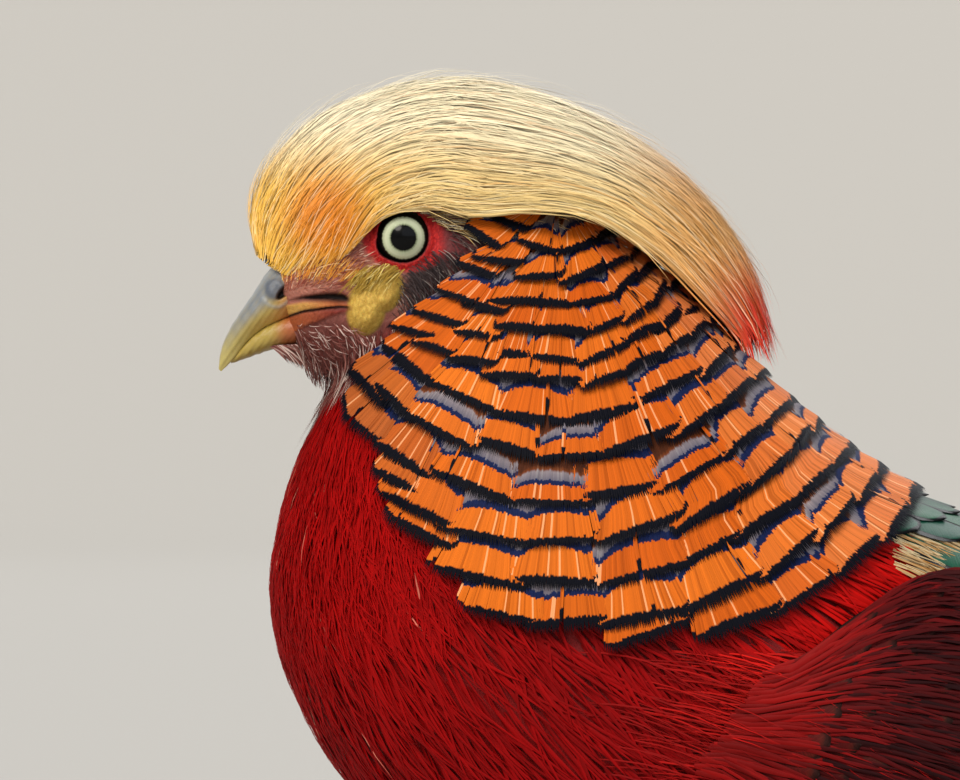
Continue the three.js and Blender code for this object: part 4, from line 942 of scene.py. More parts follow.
# Sections like the body's, from the forehead back.
CREST = np.array([
    [-30.2, 281.6, -27.8, 279.8, 3.2],
    [-30.6, 290.5, -23.5, 278.5, 8.0],
    [-25.8, 300.3, -17.0, 280.0, 11.8],
    [-16.0, 309.6, -11.5, 284.0, 14.2],
    [-4.0, 314.3, -4.6, 290.0, 15.8],
    [10.0, 316.5, 5.0, 290.8, 17.0],
    [25.0, 314.2, 14.0, 289.0, 18.0],
    [40.0, 308.3, 25.0, 290.0, 18.4],
    [53.0, 299.6, 38.0, 289.5, 17.6],
    [63.0, 289.3, 50.0, 283.0, 15.4],
    [69.6, 278.0, 60.0, 273.5, 11.6],
    [73.0, 268.0, 68.0, 265.0, 7.0],
])
CREST_LAST = len(CREST) - 1
CROWN_TAPER = np.array([0.8, 1.0, 1.0, 0.9, 0.6, 0.15])
FINE_TAPER = np.array([0.8, 1.0, 1.0, 0.9, 0.6, 0.2])
LOOSE_TAPER = np.array([1.0, 1.0, 0.9, 0.8, 0.6, 0.3])
CREST_EDGE = np.array([[0.0, 1.0], [3.6, 1.0], [5.0, 0.95], [7.0, 0.95], [8.5, 1.02], [12.0, 1.06]])
CREST_FAN = 1.6


def crest_point(u, s, out=0.0):
    """A point over the crest: u from -1 at the right edge over the top to 1 at the left, s back along it."""
    u, s, out = arrays(u, s, out)
    top_x, top_z, low_x, low_z, wide = np.moveaxis(spline(CREST, s / CREST_LAST), -1, 0)
    rise = np.stack([top_x - low_x, np.zeros(s.shape), top_z - low_z], -1)
    height = np.linalg.norm(rise, axis=-1, keepdims=True)
    rise = rise / height
    c, d = np.cos(u * math.pi / 2)[..., None], np.sin(u * math.pi / 2)[..., None]
    across = np.array([0.0, 1.0, 0.0])
    push = unit(-across * d / wide[..., None] + rise * c / height)
    low = np.stack([low_x, np.zeros(s.shape), low_z], -1)
    return low - across * d * wide[..., None] + rise * c * height + push * out[..., None]


def crest_hue(points):
    """Deep gold low on the forehead, turning cream toward the crown, partly its own colour and partly painted
    light on top; straw behind and orange to red at the loose ends.
    """
    x, z = points[..., 0], points[..., 2]
    back = np.clip(x, 0, None)
    # The crown is painted paler toward its top, partly as painted light where the light falls on it.
    high = ease(293, 311, z + 0.16 * back)
    hue = blend("#f0bc4c", "#fff2cc", high)
    for colour, share in (
            ("#f0d698", ease(-10, 4, x) * 0.8 * (1 - 0.8 * high)),
            ("#e8841a", 0.9 * ease(1.25, 0.3, oval(x, z, -15.5, 289.0, 10.0, 11.0))),
            ("#eda052", ease(38, 60, x) * 0.7)):
        hue = blend(hue, colour, share)
    return blend(hue, "#d8281e", ease(286, 270, z) * ease(56, 70, x) * 0.95)


# Silky keratin without hooks: smooth separate threads, so each takes a soft line of light.
silky = plumage("silky_golden_barbs", 0.42)

# A closed layer of down lies under the barbs and hides the scalp. Its colour and shade are set at nine tenths
# of the barbs', darker as painted shade under them.
core_u, core_s = np.meshgrid(np.linspace(-0.96, 0.96, 41), np.linspace(0.5, CREST_LAST, 60), indexing="xy")
points, faces = capped(crest_point(core_u, core_s, -1.3 - 1.2 * ease(3.2, 1.2, core_s)))
crest_base = mesh_piece("crest_underlayer", points, faces, silky, {
    "hue": crest_hue(points) * 0.9, "shade": np.full(len(points), 0.9)})


def barb_coat(name, paths, ups, widths, taper, ridge, material, hue, shades, roots):
    """Barbs whose half widths and shades are drawn between two values each."""
    half_widths = draw.uniform(*widths, (len(paths), 1)) * taper
    shade = draw.uniform(*shades, len(paths))
    return strand_piece(name, paths, ups, half_widths, ridge, material, hue, shade, roots)


def crest_barbs(name, count, starts, spans, rise, widths, taper, spread):
    """Barbs back over the crest; rise is how high their free ends stand, spread how far they part."""
    u = np.sort(draw.uniform(-1, 1, count)) + draw.normal(0, 0.012, count)
    # They rise from the forehead's foot and fan out: those low on the side start further back.
    first = -CREST_FAN * np.log(np.maximum((1.05 / np.clip(np.abs(u), 0.56, 1.03) - 1) / 0.9, 0.02))
    s0 = np.maximum(draw.uniform(*starts, count), first)
    share = np.linspace(0, 1, len(taper))
    at_s = s0[:, None] + draw.uniform(*spans, (count, 1)) * share
    # Barbs lie in locks that bend the same way, and cross their neighbours a little at the ends.
    lock = 0.03 * np.sin(u * 23 + s0 * 1.7) + 0.02 * np.sin(u * 51 - s0 * 2.9)
    drift = (lock + draw.normal(0, spread, count))[:, None] * share**1.4
    edge = np.interp(at_s, CREST_EDGE[:, 0], CREST_EDGE[:, 1])
    at_u = u[:, None] * edge * (1 + 0.9 * np.exp(-at_s / CREST_FAN)) + drift
    low = draw.uniform(-0.8, 0.2, (count, 1))
    lift = low + draw.uniform(*rise, (count, 1)) * np.sin(share * math.pi * 0.62)
    paths, ups = on_surface(crest_point, at_u, at_s, lift)
    # Past the crest's end the barbs hang on downward.
    over = np.clip(at_s - CREST_LAST, 0, None)[..., None]
    paths = paths + over * (np.array([1.9, 0.0, -7.0]) + draw.normal(0, 0.8, (count, 1, 3)))
    # No barb crosses the eye.
    clear = (oval(paths[..., 0], paths[..., 2], 0.0, 284.6, 6.2, 5.4) > 1).all(1)
    paths, ups, u, s0 = paths[clear], ups[clear], u[clear], s0[clear]
    tone = draw.random(len(u))[:, None] * np.ones(len(taper))
    hue = blend(crest_hue(paths), "#fff0c8", 0.4 * (tone > 0.85))
    hue = blend(hue, "#c87818", 0.35 * (tone < 0.14))
    roots = np.stack([(np.clip(u, -1, 1) + 1) * 0.45 + 0.02, np.clip(s0 / CREST_LAST, 0, 1) * 0.9 + 0.02], -1)
    piece = barb_coat(name, paths, ups, widths, taper, 0.2, silky, hue, (0.95, 1.18), roots)
    return piece


crown = crest_barbs("crest_barbs", 6400, (0.5, 8.7), (2.2, 3.6), (0.3, 1.5), (0.13, 0.26), CROWN_TAPER, 0.02)
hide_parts("crest")
# Each row: the number of barbs, where they start along the crest, how far they run, how high their ends
# stand, their half widths and taper, and how far they part.
for name, count, starts, spans, rise, widths, taper, spread in (
        ("crest_fine_barbs", 1400, (0.6, 8.9), (1.4, 3.0), (1.0, 2.1), (0.06, 0.11), FINE_TAPER, 0.045),
        ("forehead_barbs", 1450, (0.0, 2.8), (1.4, 2.6), (0.5, 1.5), (0.09, 0.18), FINE_TAPER, 0.02),
        ("forehead_wisps", 460, (0.35, 1.7), (0.8, 1.7), (1.8, 4.2), (0.05, 0.1), LOOSE_TAPER, 0.08),
        ("crest_loose_barbs", 760, (0.4, 9.2), (0.9, 2.0), (1.6, 4.4), (0.05, 0.09), LOOSE_TAPER, 0.06)):
    crest_barbs(name, count, starts, spans, rise, widths, taper, spread)

# Breast and belly
# Dense hair-like scarlet feathers from the throat to the belly. They lie back along the body, deep
# crimson in the shade of the breast and brighter where the light meets their edges.

BARB_SHARE = np.linspace(0, 1, 5)
BARB_TAPER = np.array([0.8, 1.0, 0.95, 0.65, 0.15])


def pace_along(point, s, angle):
    """Millimetres along the surface point(s, angle) for each step of s."""
    return np.linalg.norm(point(s + 0.05, angle) - point(s - 0.05, angle), axis=-1) / 0.1


def scatter(count, s_from, s_to, keep):
    """Places spread evenly over the body's surface, as s and angle, where keep(s, angle) is true."""
    s, angle = np.meshgrid(np.linspace(s_from, s_to, 241), np.linspace(0, 2 * math.pi, 361), indexing="ij")
    points = body_point(s, angle)
    corner = points[:-1, :-1]
    area = np.linalg.norm(np.cross(points[1:, :-1] - corner, points[:-1, 1:] - corner), axis=-1)
    mid_s, mid_angle = (s[1:, 1:] + s[:-1, :-1]) / 2, (angle[1:, 1:] + angle[:-1, :-1]) / 2
    area = area * keep(mid_s, mid_angle)
    run = np.cumsum(area.ravel())
    at = np.searchsorted(run, (np.arange(count) + draw.random(count)) / count * run[-1])
    at = np.clip(at, 0, run.size - 1)
    jitter_s = draw.uniform(-0.5, 0.5, count) * (s_to - s_from) / 240
    jitter_angle = draw.uniform(-0.5, 0.5, count) * 2 * math.pi / 360
    return mid_s.ravel()[at] + jitter_s, mid_angle.ravel()[at] + jitter_angle


def body_barbs(s, angle, lengths, lift_from, lift_to, sway):
    """Paths of barbs that lie back along the body from their roots, and their outward directions."""
    share = BARB_SHARE
    pace = np.clip(pace_along(body_point, s, angle), 3.5, None)
    at_s = s[:, None] + (lengths / pace)[:, None] * share
    turn = angle[:, None] + sway[:, None] * share**1.3
    rise = lift_from[:, None] + (lift_to - lift_from)[:, None] * np.sin(share * math.pi * 0.62)
    over = np.clip(at_s - BODY_LAST, 0, None)
    inside = np.minimum(at_s, BODY_LAST)
    flat, ups = on_surface(body_point, inside, turn, rise)
    return flat + over[..., None] * np.array([12.0, 0.0, -3.0]), ups


def body_roots(s, angle):
    return np.stack([(angle % (2 * math.pi)) / (2 * math.pi) * 0.95 + 0.02, s / BODY_LAST * 0.94 + 0.02], -1)


def is_scarlet(s, angle):
    green, gold = body_zone(s, angle)
    points = body_point(s, angle)
    angle_seen = seen_angle(points)
    away = np.hypot(points[..., 0] - CAPE_CENTRE[0], points[..., 2] - CAPE_CENTRE[1])
    under_cape = (angle_seen < 139) & (away < cape_limit(angle_seen) - 13)
    throat = points[..., 2] > 257.5
    return (green + gold < 0.5) & ~under_cape & ~throat


# Scarlet keratin without hooks: nearly matt, so the red stays deep and only its shade changes.
scarlet = plumage("scarlet_hair_feathers", 0.6, specular=0.09)
for name, count, s_from, s_to, width, long in (
        ("breast_barbs_upper", 7100, 4.6, 10.6, 0.225, 10.5),
        ("breast_barbs_lower", 6300, 10.0, 14.4, 0.36, 16.0),
        ("belly_barbs", 2500, 14.2, BODY_LAST - 0.2, 1.08, 23.0)):
    s, angle = scatter(count, s_from, s_to, is_scarlet)
    lengths = long * draw.uniform(0.7, 1.35, count)
    clump = 0.05 * np.sin(angle * 31 + s * 5) + 0.05 * np.sin(s * 13 - angle * 17)
    paths, ups = body_barbs(s, angle, lengths, np.full(count, -1.3), draw.uniform(0.0, 0.9, count),
                            clump + draw.normal(0, 0.02, count))
    x, z = paths[:, 0, 0], paths[:, 0, 2]
    bright = ease(-30, 5, -x) * ease(190, 240, z)
    hue = blend("#840204", "#b40606", 0.2 + 0.8 * bright)
    for colour, share in (
            ("#d80e08", ease(40, 90, x) * ease(145, 170, z) * 0.85),
            ("#6a0204", ease(205, 140, z) * ease(60, 0, x) * 0.5),
            ("#e0806c", 0.8 * (draw.random(count) > 0.996))):
        hue = blend(hue, colour, share)
    coat = barb_coat(name, paths, ups, (0.6, 1.25), width * BARB_TAPER, 0.45, scarlet, hue, (0.68, 1.12),
                     body_roots(s, angle))

# Face hairs
# Hair-like feathers on the bare face: a brow that runs up into the crest, bristles on the lores and
# the chin, yellow ones over the wattle's root, and dark wisps over the ear.

# Bare hair shafts: stiff and half glossy, so single hairs catch the light against the skin.
hair_keratin = plumage("face_hair_keratin", 0.5)
HAIR_SINK = -0.4
HAIR_TAPER = np.array([0.9, 1.0, 0.9, 0.6, 0.15])


def combed(s, angle, back, down, high):
    """Paths of hairs that leave the skin at s, angle and run so many millimetres back and down."""
    pace_s = pace_along(body_point, s, angle)
    pace_angle = np.linalg.norm(body_point(s, angle + 0.02) - body_point(s, angle - 0.02), axis=-1) / 0.04
    below = np.where(angle % (2 * math.pi) < math.pi, 1.0, -1.0)
    at_s = np.clip(s[:, None] + (back / pace_s)[:, None] * BARB_SHARE, 0.02, BODY_LAST)
    at_angle = angle[:, None] + (below * down / pace_angle)[:, None] * BARB_SHARE**1.3
    rise = HAIR_SINK + (high - HAIR_SINK)[:, None] * np.sin(BARB_SHARE * math.pi * 0.58)
    return on_surface(body_point, at_s, at_angle, rise)


def on_skin(region):
    """A test of s, angle for scatter from a test of x, z."""
    def keep(s, angle):
        points = body_point(s, angle)
        return region(points[..., 0], points[..., 2])
    return keep


def off_eye(x, z):
    """True outside the eye's red patch and the wattle."""
    return (oval(x, z, -0.6, 284.5, 9.8, 6.3, -6) > 1) & (oval(x, z, -6.6, 271.8, 4.8, 6.4) > 0.9)


CREST_FOOT = np.array([
    [-28, 279.5], [-21, 277.6], [-15, 280], [-11, 283.6], [-8, 287.6], [-4, 290.2], [1, 291.6], [7, 290],
    [12, 287.6]])


def under_crest(x, z, above=1.0):
    """True below the line where the crest rises from the head, set so many millimetres higher."""
    return z < np.interp(x, CREST_FOOT[:, 0], CREST_FOOT[:, 1]) + above


# Each row: the number of hairs, where they stand, how far they run back and down, how high they end,
# their half widths, their dark, middle and pale colours, and the shares under and over the middle one.
for name, count, region, back, down, high, widths, hues, share in (
        ("lore_bristles", 1000,
         lambda x, z: (x < -5) & (z > 274.2) & under_crest(x, z) & off_eye(x, z),
         (1.2, 3.2), (-2.0, 1.0), (0.3, 1.0), (0.05, 0.1), ("#8a3c2c", "#c88468", "#e8c0a8"), (0.6, 0.9)),
        ("lore_gold", 700,
         lambda x, z: (x < -8) & (z > 275.5) & under_crest(x, z, 2.0) & (x + z < 266),
         (0.8, 2.6), (-4.0, -1.5), (0.3, 1.2), (0.05, 0.1), ("#e08a2c", "#eeb050", "#f4d490"), (0.5, 0.9)),
        ("brow_hairs", 900,
         lambda x, z: (z > 283) & (x > -12) & under_crest(x, z, 2.0) & ~under_crest(x, z, -2.4) & (
             oval(x, z, -2.6, 284.6, 9.4, 6.6) > 1),
         (2.5, 5.0), (-1.2, 1.4), (0.6, 1.8), (0.05, 0.1), ("#c89a54", "#ecd8a4", "#fff2d0"), (0.35, 0.8)),
        ("cheek_hairs", 900,
         lambda x, z: (x > -5) & (x < 15) & (z > 270) & under_crest(x, z, 0.0) & off_eye(x, z),
         (2.0, 4.5), (-0.5, 2.2), (0.2, 1.1), (0.04, 0.08), ("#2c2222", "#6c5450", "#b09c90"), (0.62, 0.93)),
        ("ear_wisps", 700, lambda x, z: oval(x, z, 6.8, 276.0, 7.6, 6.4, 12) < 1.1,
         (3.0, 7.0), (0.5, 4.0), (0.4, 2.2), (0.05, 0.09), ("#2a2020", "#4c4040", "#9c9088"), (0.55, 0.92)),
        ("wattle_hairs", 420, lambda x, z: (oval(x, z, -4.6, 278.2, 5.0, 2.0, 6) < 1),
         (-3.0, 0.4), (2.2, 5.0), (1.6, 2.8), (0.06, 0.12), ("#a4802c", "#c8a444", "#e4cc7c"), (0.4, 0.85)),
        ("chin_bristles", 1200,
         lambda x, z: (z < np.minimum(268.0, 267.4 + 0.2 * (x + 26))) & (z > 255.5) & (x < -1) & (
             oval(x, z, *WATTLE) > 1),
         (1.6, 4.6), (-1.0, 2.6), (0.9, 3.2), (0.06, 0.14), ("#7c3a34", "#b87c70", "#ecd2c6"), (0.4, 0.78))):
    s, angle = scatter(count, 0.02, 7.4, on_skin(region))
    back, down = draw.uniform(*back, count), draw.uniform(*down, count)
    paths, ups = combed(s, angle, back, down, draw.uniform(*high, count))
    tone = draw.random(count)
    hue = blend(hues[0], hues[1], tone)
    hue = blend(hue, hues[2], 0.9 * (tone > share[1]))
    hue = blend(hue, hues[0], 0.7 * (tone < share[0]))
    hairs = barb_coat(name, paths, ups, widths, HAIR_TAPER, 0.4, hair_keratin, hue, (0.8, 1.15),
                      body_roots(s, angle))

# Under the lower jaw the skin carries a tuft that fills the angle of the bill and the throat.
CHIN_TUFT_HAIRS = 850
count = CHIN_TUFT_HAIRS
root_x = draw.uniform(-27.4, -16.0, count)
root_z = np.interp(root_x, [-27.4, -22.0, -17.0], [263.6, 263.9, 264.2]) - 0.1
root_y = draw.uniform(-1, 1, count) * np.interp(root_x, [-27.4, -17.0], [2.6, 6.0])
share = BARB_SHARE
reach = draw.uniform(3.0, 7.0, count)[:, None] * share
fall = draw.uniform(3.0, 6.8, count)[:, None] * share**1.2
fall = fall * np.interp(root_x, [-27.4, -22.0], [0.5, 1.0])[:, None]
paths = np.stack([root_x[:, None] + reach, root_y[:, None] * (1 + 0.25 * share), root_z[:, None] - fall], -1)
ups = np.stack([-0.3 + 0 * reach, np.sign(root_y)[:, None] * 0.8 + 0 * reach, -0.5 + 0 * reach], -1)
tone = draw.random(count)
hue = blend("#84423c", "#c08a7e", tone)
hue = blend(hue, "#ecd2c6", 0.9 * (tone > 0.78))
tuft = barb_coat("chin_tuft", paths, ups, (0.07, 0.16), HAIR_TAPER, 0.4, hair_keratin, hue, (0.8, 1.15),
                 np.stack([root_y / 14 + 0.5, (root_x + 28) / 12], -1))

# Mantle
# Between the cape and the golden back lie rounded scale feathers of dark metallic green, each with
# a velvet-black border, broad and firm so that they overlap like tiles.

MANTLE_STEP = 0.4
MANTLE_WIDTH = 10.5
MANTLE_LENGTH = 17.0


def vane_piece(name, centres, sides, ups, thick, columns, material, hue, shade, droop, border):
    """Many feather vanes as one mesh, each a thin closed blade that tapers to its edges.

    centres, sides (to the left edge) and ups are (vanes, rows, 3). chart keeps millimetres along and
    across, for the marks of the material. Marks count from the vane's end, and where border is a number
    from its side edges too. On the unwrap each vane has a square place of its own.
    """
    count, rows = centres.shape[:2]
    x = np.linspace(-1, 1, columns)
    droop = np.broadcast_to(droop, (count, rows))[..., None, None]
    centre, side, up = centres[:, :, None], sides[:, :, None], ups[:, :, None]
    across = x[None, None, :, None]
    middle = centre + side * across - up * droop * across**2
    steps = np.linalg.norm(np.diff(centres, axis=1), axis=-1)
    along = np.concatenate([np.zeros((count, 1)), np.cumsum(steps, 1)], 1)
    full = np.linalg.norm(sides, axis=-1)
    fine = np.clip(full / max(full.max(), 1e-6) * 3, 0.15, 1)[:, :, None, None]
    body_thick = thick * (1 - 0.75 * across**2) * fine
    quill = 0.35 * thick * np.exp(-((across / 0.07) ** 2)) * (1 - along / along[:, -1:])[:, :, None, None]
    top = middle + up * (body_thick / 2 + quill)
    low = middle - up * body_thick / 2
    points = np.stack([top, low], 1).reshape(-1, 3)
    grid = rows * columns
    plain = grid_faces(rows, columns, False)
    rim = np.concatenate([
        np.arange(columns), np.arange(1, rows) * columns + columns - 1,
        (rows - 1) * columns + np.arange(columns - 2, -1, -1), np.arange(rows - 2, 0, -1) * columns])
    turn = np.roll(rim, -1)
    edge = np.stack([rim, rim + grid, turn + grid, turn], -1)
    faces = np.concatenate([plain, plain[:, ::-1] + grid, edge[:, ::-1]])
    faces = (faces[None] + (np.arange(count) * 2 * grid)[:, None, None]).reshape(-1, 4)
    wide = full[:, :, None] * x
    long = np.broadcast_to(along[:, :, None], wide.shape)
    end = along[:, -1][:, None, None] - long
    near_edge = full[:, :, None] * (1 - np.abs(x))
    from_end = end if border is None else np.minimum(end * border, near_edge)
    hue = np.asarray(hue, float)
    if hue.ndim == 2:
        hue = np.broadcast_to(hue[:, None, None], (*wide.shape, 3))

    def two(values):
        """The same values for the vane's upper and lower face."""
        return np.stack([values, values], 1).reshape((-1,) + values.shape[3:])

    chart = np.stack([long, wide, np.broadcast_to(shade[:, None, None] * 97, wide.shape)], -1)
    attributes = {
        "hue": two(hue), "shade": np.repeat(shade, 2 * grid), "from_end": two(from_end), "chart": two(chart),
        "barb": two(long - np.abs(wide) * 0.9 + shade[:, None, None] * 50)}
    in_row = math.ceil(math.sqrt(count))
    corner = np.stack([np.arange(count) % in_row, np.arange(count) // in_row], -1)[:, None, None] / in_row
    spot = np.stack([np.broadcast_to((x + 1) / 2, wide.shape), long / along[:, -1][:, None, None]], -1)
    piece = mesh_piece(name, points, [faces], material, attributes, two(corner + spot * (0.9 / in_row)))
    return piece


def barb_lines(material, spacing, depth):
    """Draws the barbs of a vane as fine slanting lines this many millimetres apart."""
    tree = material.node_tree
    shader = tree.nodes["Principled BSDF"]
    place_on = add_node(tree, "ShaderNodeAttribute", {"attribute_name": "barb"})
    lines = add_node(tree, "ShaderNodeTexNoise", {"noise_dimensions": "1D"}, {
        "W": place_on.outputs["Fac"], "Scale": 1 / spacing, "Detail": 3.0, "Roughness": 0.7})
    level = add_node(tree, "ShaderNodeMapRange", links={
        "Value": lines.outputs["Fac"], "From Min": 0.3, "From Max": 0.7,
        "To Min": 1 - depth, "To Max": 1 + depth})
    before = shader.inputs["Base Color"].links[0].from_socket
    after = add_node(tree, "ShaderNodeVectorMath", {"operation": "SCALE"}, {
        0: before, "Scale": level.outputs["Result"]})
    bump = add_node(tree, "ShaderNodeBump", links={
        "Strength": 0.35, "Distance": 0.0002, "Height": lines.outputs["Fac"]})
    set_inputs(shader, {"Base Color": after.outputs["Vector"], "Normal": bump.outputs["Normal"]})
    return material


VANE_SHAPE = np.array([
    [0, 0.22], [0.2, 0.6], [0.4, 0.9], [0.6, 1.0], [0.76, 0.96], [0.88, 0.8], [0.95, 0.55], [0.985, 0.3],
    [1, 0.06]])


def vanes_on(point, along, across, rise, step, half_width):
    """Middle lines, side vectors and outward directions of vanes along a surface."""
    centres, ups = on_surface(point, along, across, rise)
    ups = unit(ups)
    sides = unit(point(along, across + step, rise) - point(along, across - step, rise))
    return centres, sides, ups, (half_width[:, None] * VANE_SHAPE[:, 1])[..., None]


def body_vanes(s, angle, length, half_width, lift_from, lift_to):
    """Vanes that lie back along the body."""
    share = VANE_SHAPE[:, 0]
    at_s = s[:, None] + (length / pace_along(body_point, s, angle))[:, None] * share
    at_angle = np.broadcast_to(angle[:, None], at_s.shape)
    rise = lift_from + (lift_to - lift_from) * share**1.2
    centres, sides, ups, halves = vanes_on(body_point, at_s, at_angle, rise, 0.02, half_width)
    return centres, sides * halves, ups


# Iridescent green vane: hooked barbs lie flat, so it shines like satin inside a velvet-black border.
mantle_green = barb_lines(plumage("iridescent_green_vane", 0.42, [
    (0.0, "#07090b", 1.0), (1.5, "#07090b", 1.0), (1.9, "#0a2a1c", 0.0), (6.0, "#0a2a1c", 0.0)],
    6.0, 0.12), 0.4, 0.22)
rows_s, rows_angle = [], []
for row, s in enumerate(np.arange(10.4, 14.3, MANTLE_STEP)):
    reach = 0.62 + 0.3 * ease(11, 14, s)
    arc = float(np.linalg.norm(body_point(s, reach) - body_point(s, 0.0))) * 2
    number = max(4, round(arc / MANTLE_WIDTH))
    angles = ((np.arange(number) + 0.5 * (row % 2) + 0.25) / number * 2 - 1) * reach
    rows_s.append(np.full(number, s) + draw.uniform(-0.06, 0.06, number))
    rows_angle.append(angles + draw.uniform(-0.02, 0.02, number))
s, angle = np.concatenate(rows_s), np.concatenate(rows_angle)
count = len(s)
centres, sides, ups = body_vanes(
    s, angle, np.full(count, MANTLE_LENGTH), np.full(count, MANTLE_WIDTH * 0.66), 0.2, 2.6)
hue = blend("#0c4a30", "#14506a", draw.random(count) * ease(0.3, 1.0, np.abs(angle)))
mantle = vane_piece("mantle_feathers", centres, sides, ups, 0.35, 9, mantle_green, hue,
                    draw.uniform(0.8, 1.1, count), 0.8, 1.2)
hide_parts("mantle")

# A fringe of cream hairs stands between the cape's rear edge and the red shoulder.
FRINGE_BARBS = 560
s, angle = scatter(FRINGE_BARBS, 10.4, 13.8, on_skin(
    lambda x, z: (x > 96) & (x < 110) & (z > 219) & (z < 227)))
count = len(s)
paths, ups = body_barbs(
    s, angle, draw.uniform(7, 12, count), np.full(count, 0.3), draw.uniform(0.8, 1.8, count),
    draw.normal(0, 0.02, count))
hue = blend("#c8883c", "#f2deb0", draw.random(count))
fringe = barb_coat("cream_fringe", paths, ups, (0.1, 0.22), BARB_TAPER, 0.3, scarlet, hue, (0.8, 1.1),
                   body_roots(s, angle))

# Back and rump
# Long loose golden-yellow feathers without firm vanes cover the back from the mantle to the tail. They
# grow from the skin of the rump and lie back over it.

BACK_BARBS = 3000
BACK_TAPER = np.array([0.8, 1.0, 0.9, 0.6, 0.15])

# Golden hair-like keratin: a little glossier than the scarlet, so the back looks silky.
golden = plumage("golden_hair_feathers", 0.46)
count = BACK_BARBS
s, angle = scatter(count, 13.6, BODY_LAST - 0.1, lambda s, angle: body_zone(s, angle)[1] > 0.5)
lengths = draw.uniform(16, 28, count)
paths, ups = body_barbs(
    s, angle, lengths, np.full(count, -0.8), draw.uniform(0.4, 2.6, count), draw.normal(0, 0.05, count))
hue = blend("#e0980c", "#f4c430", draw.random(count))
hue = blend(hue, "#c8681a", ease(1.0, 1.35, np.abs((angle + math.pi) % (2 * math.pi) - math.pi)) * 0.5)
rump = barb_coat("golden_back_barbs", paths, ups, (0.5, 0.95), BACK_TAPER, 0.4, golden, hue, (0.75, 1.12),
                 body_roots(s, angle))
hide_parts("rump")

# Wings
# Folded along the flank: small brown coverts in front, blue tertials above, and barred brown flight
# feathers whose tips reach back past the thigh. All have firm flat vanes.

# Each row runs down the folded wing, from the bend to the tip: x and z of the upper and of the lower
# edge, and how far it stands out from the middle plane at least.
WING = np.array([
    [75.0, 199.0, 60.0, 179.0, 40.0],
    [98.0, 213.0, 81.0, 166.0, 46.0],
    [119.0, 215.0, 105.0, 157.0, 49.0],
    [143.0, 208.0, 134.0, 151.0, 50.0],
    [168.0, 196.0, 162.0, 149.0, 46.0],
    [196.0, 183.0, 190.0, 149.0, 39.0],
    [220.0, 171.0, 216.0, 151.0, 32.0],
    [238.0, 162.0, 238.0, 154.0, 27.0],
])
WING_REACH = 168.0


def wing_flat(u, v):
    """The wing's ground: near the body's side, but never closer to the middle plane than its least."""
    u, v = arrays(u, v)
    top_x, top_z, low_x, low_z, least = np.moveaxis(spline(WING, np.clip(u, 0, 1)), -1, 0)
    x, z = top_x + (low_x - top_x) * v, top_z + (low_z - top_z) * v
    least = least * (1 - 0.1 * (2 * v - 1) ** 2)
    near = body_half_width(x, z) + 0.2
    return np.stack([x, -(near + least + np.sqrt((near - least) ** 2 + 16)) / 2, z], -1)


def wing_point(u, v, out=0.0):
    """A point over the folded wing: u from the bend to the tip, v from the upper to the lower edge."""
    along = wing_flat(u + 0.01, v) - wing_flat(u - 0.01, v)
    down = wing_flat(u, v + 0.02) - wing_flat(u, v - 0.02)
    return wing_flat(u, v) + unit(np.cross(down, along)) * np.asarray(out)[..., None]


def wing_vanes(u_from, u_to, v, half_width, lift_from, lift_to, lean=0.0):
    """Vanes that lie back along the wing; lean lifts their lower edge over the next feather below."""
    share = VANE_SHAPE[:, 0]
    at_u = u_from[:, None] + (u_to - u_from)[:, None] * share
    at_v = np.broadcast_to(v[:, None], at_u.shape)
    rise = lift_from[:, None] + (lift_to - lift_from)[:, None] * share**0.8
    centres, sides, ups, halves = vanes_on(wing_point, at_u, at_v, rise, 0.03, half_width)
    return centres, (sides + ups * lean) * halves, ups


# Chestnut vane: firm and half matt, with a darker edge that sets each small feather off.
covert_brown = barb_lines(plumage("chestnut_covert_vane", 0.5, [
    (0.0, "#20100c", 1.0), (1.2, "#20100c", 0.8), (2.6, "#5a2414", 0.0), (8.0, "#5a2414", 0.0)],
    8.0, 0.08), 0.4, 0.25)
# Deep blue vane: smooth enough to shine along the folded back, nearly black at its edge.
tertial_blue = barb_lines(plumage("deep_blue_tertial_vane", 0.34, [
    (0.0, "#0a0c14", 1.0), (2.0, "#10163a", 0.7), (5.0, "#10163a", 0.0), (9.0, "#10163a", 0.0)],
    9.0), 0.5, 0.2)


def barred_vane(name, dark, pale, spacing, distortion):
    """Brown flight keratin crossed by paler wavering bars this many millimetres apart."""
    material, tree, shader = blank_material(name)
    chart, shade = (
        add_node(tree, "ShaderNodeAttribute", {"attribute_name": key}) for key in ("chart", "shade"))
    bars = add_node(tree, "ShaderNodeTexWave", {"bands_direction": "X"}, {
        "Vector": chart.outputs["Vector"], "Scale": 0.314 / spacing, "Distortion": distortion,
        "Detail": 2.0, "Detail Scale": 0.6})
    ramp = add_node(tree, "ShaderNodeValToRGB", links={"Fac": bars.outputs["Fac"]})
    fill_ramp(ramp, [(0.46, dark, 1.0), (0.62, pale, 1.0)])
    toned = add_node(tree, "ShaderNodeVectorMath", {"operation": "SCALE"}, {
        0: ramp.outputs["Color"], "Scale": shade.outputs["Fac"]})
    set_inputs(shader, {"Base Color": toned.outputs["Vector"], "Roughness": 0.45})
    return barb_lines(material, 0.5, 0.18)


# Flight feather vane: dull brown with broken cinnamon bars.
flight_brown = barred_vane("barred_flight_vane", "#2a1610", "#94683c", 7.0, 5.0)

PRIMARIES = 7
SECONDARIES = 8
FLIGHT_HALF_WIDTH = 8.5
# Rows: where they root, where they end, their line down the wing and their height, each from the first
# to the last primary and from the first to the last secondary.
FLIGHT_SPREAD = (((0.42, 0.42), (0.3, 0.36)), ((0.86, 0.99), (0.68, 0.86)), ((0.92, 0.5), (0.86, 0.26)),
                 ((0.3, 0.9), (1.2, 2.4)))
TERTIAL_ENDS = np.array([0.62, 0.68, 0.72, 0.7])
TERTIALS = len(TERTIAL_ENDS)
COVERT_ROWS = (0.42, 0.36, 0.3, 0.245, 0.195, 0.15, 0.11)

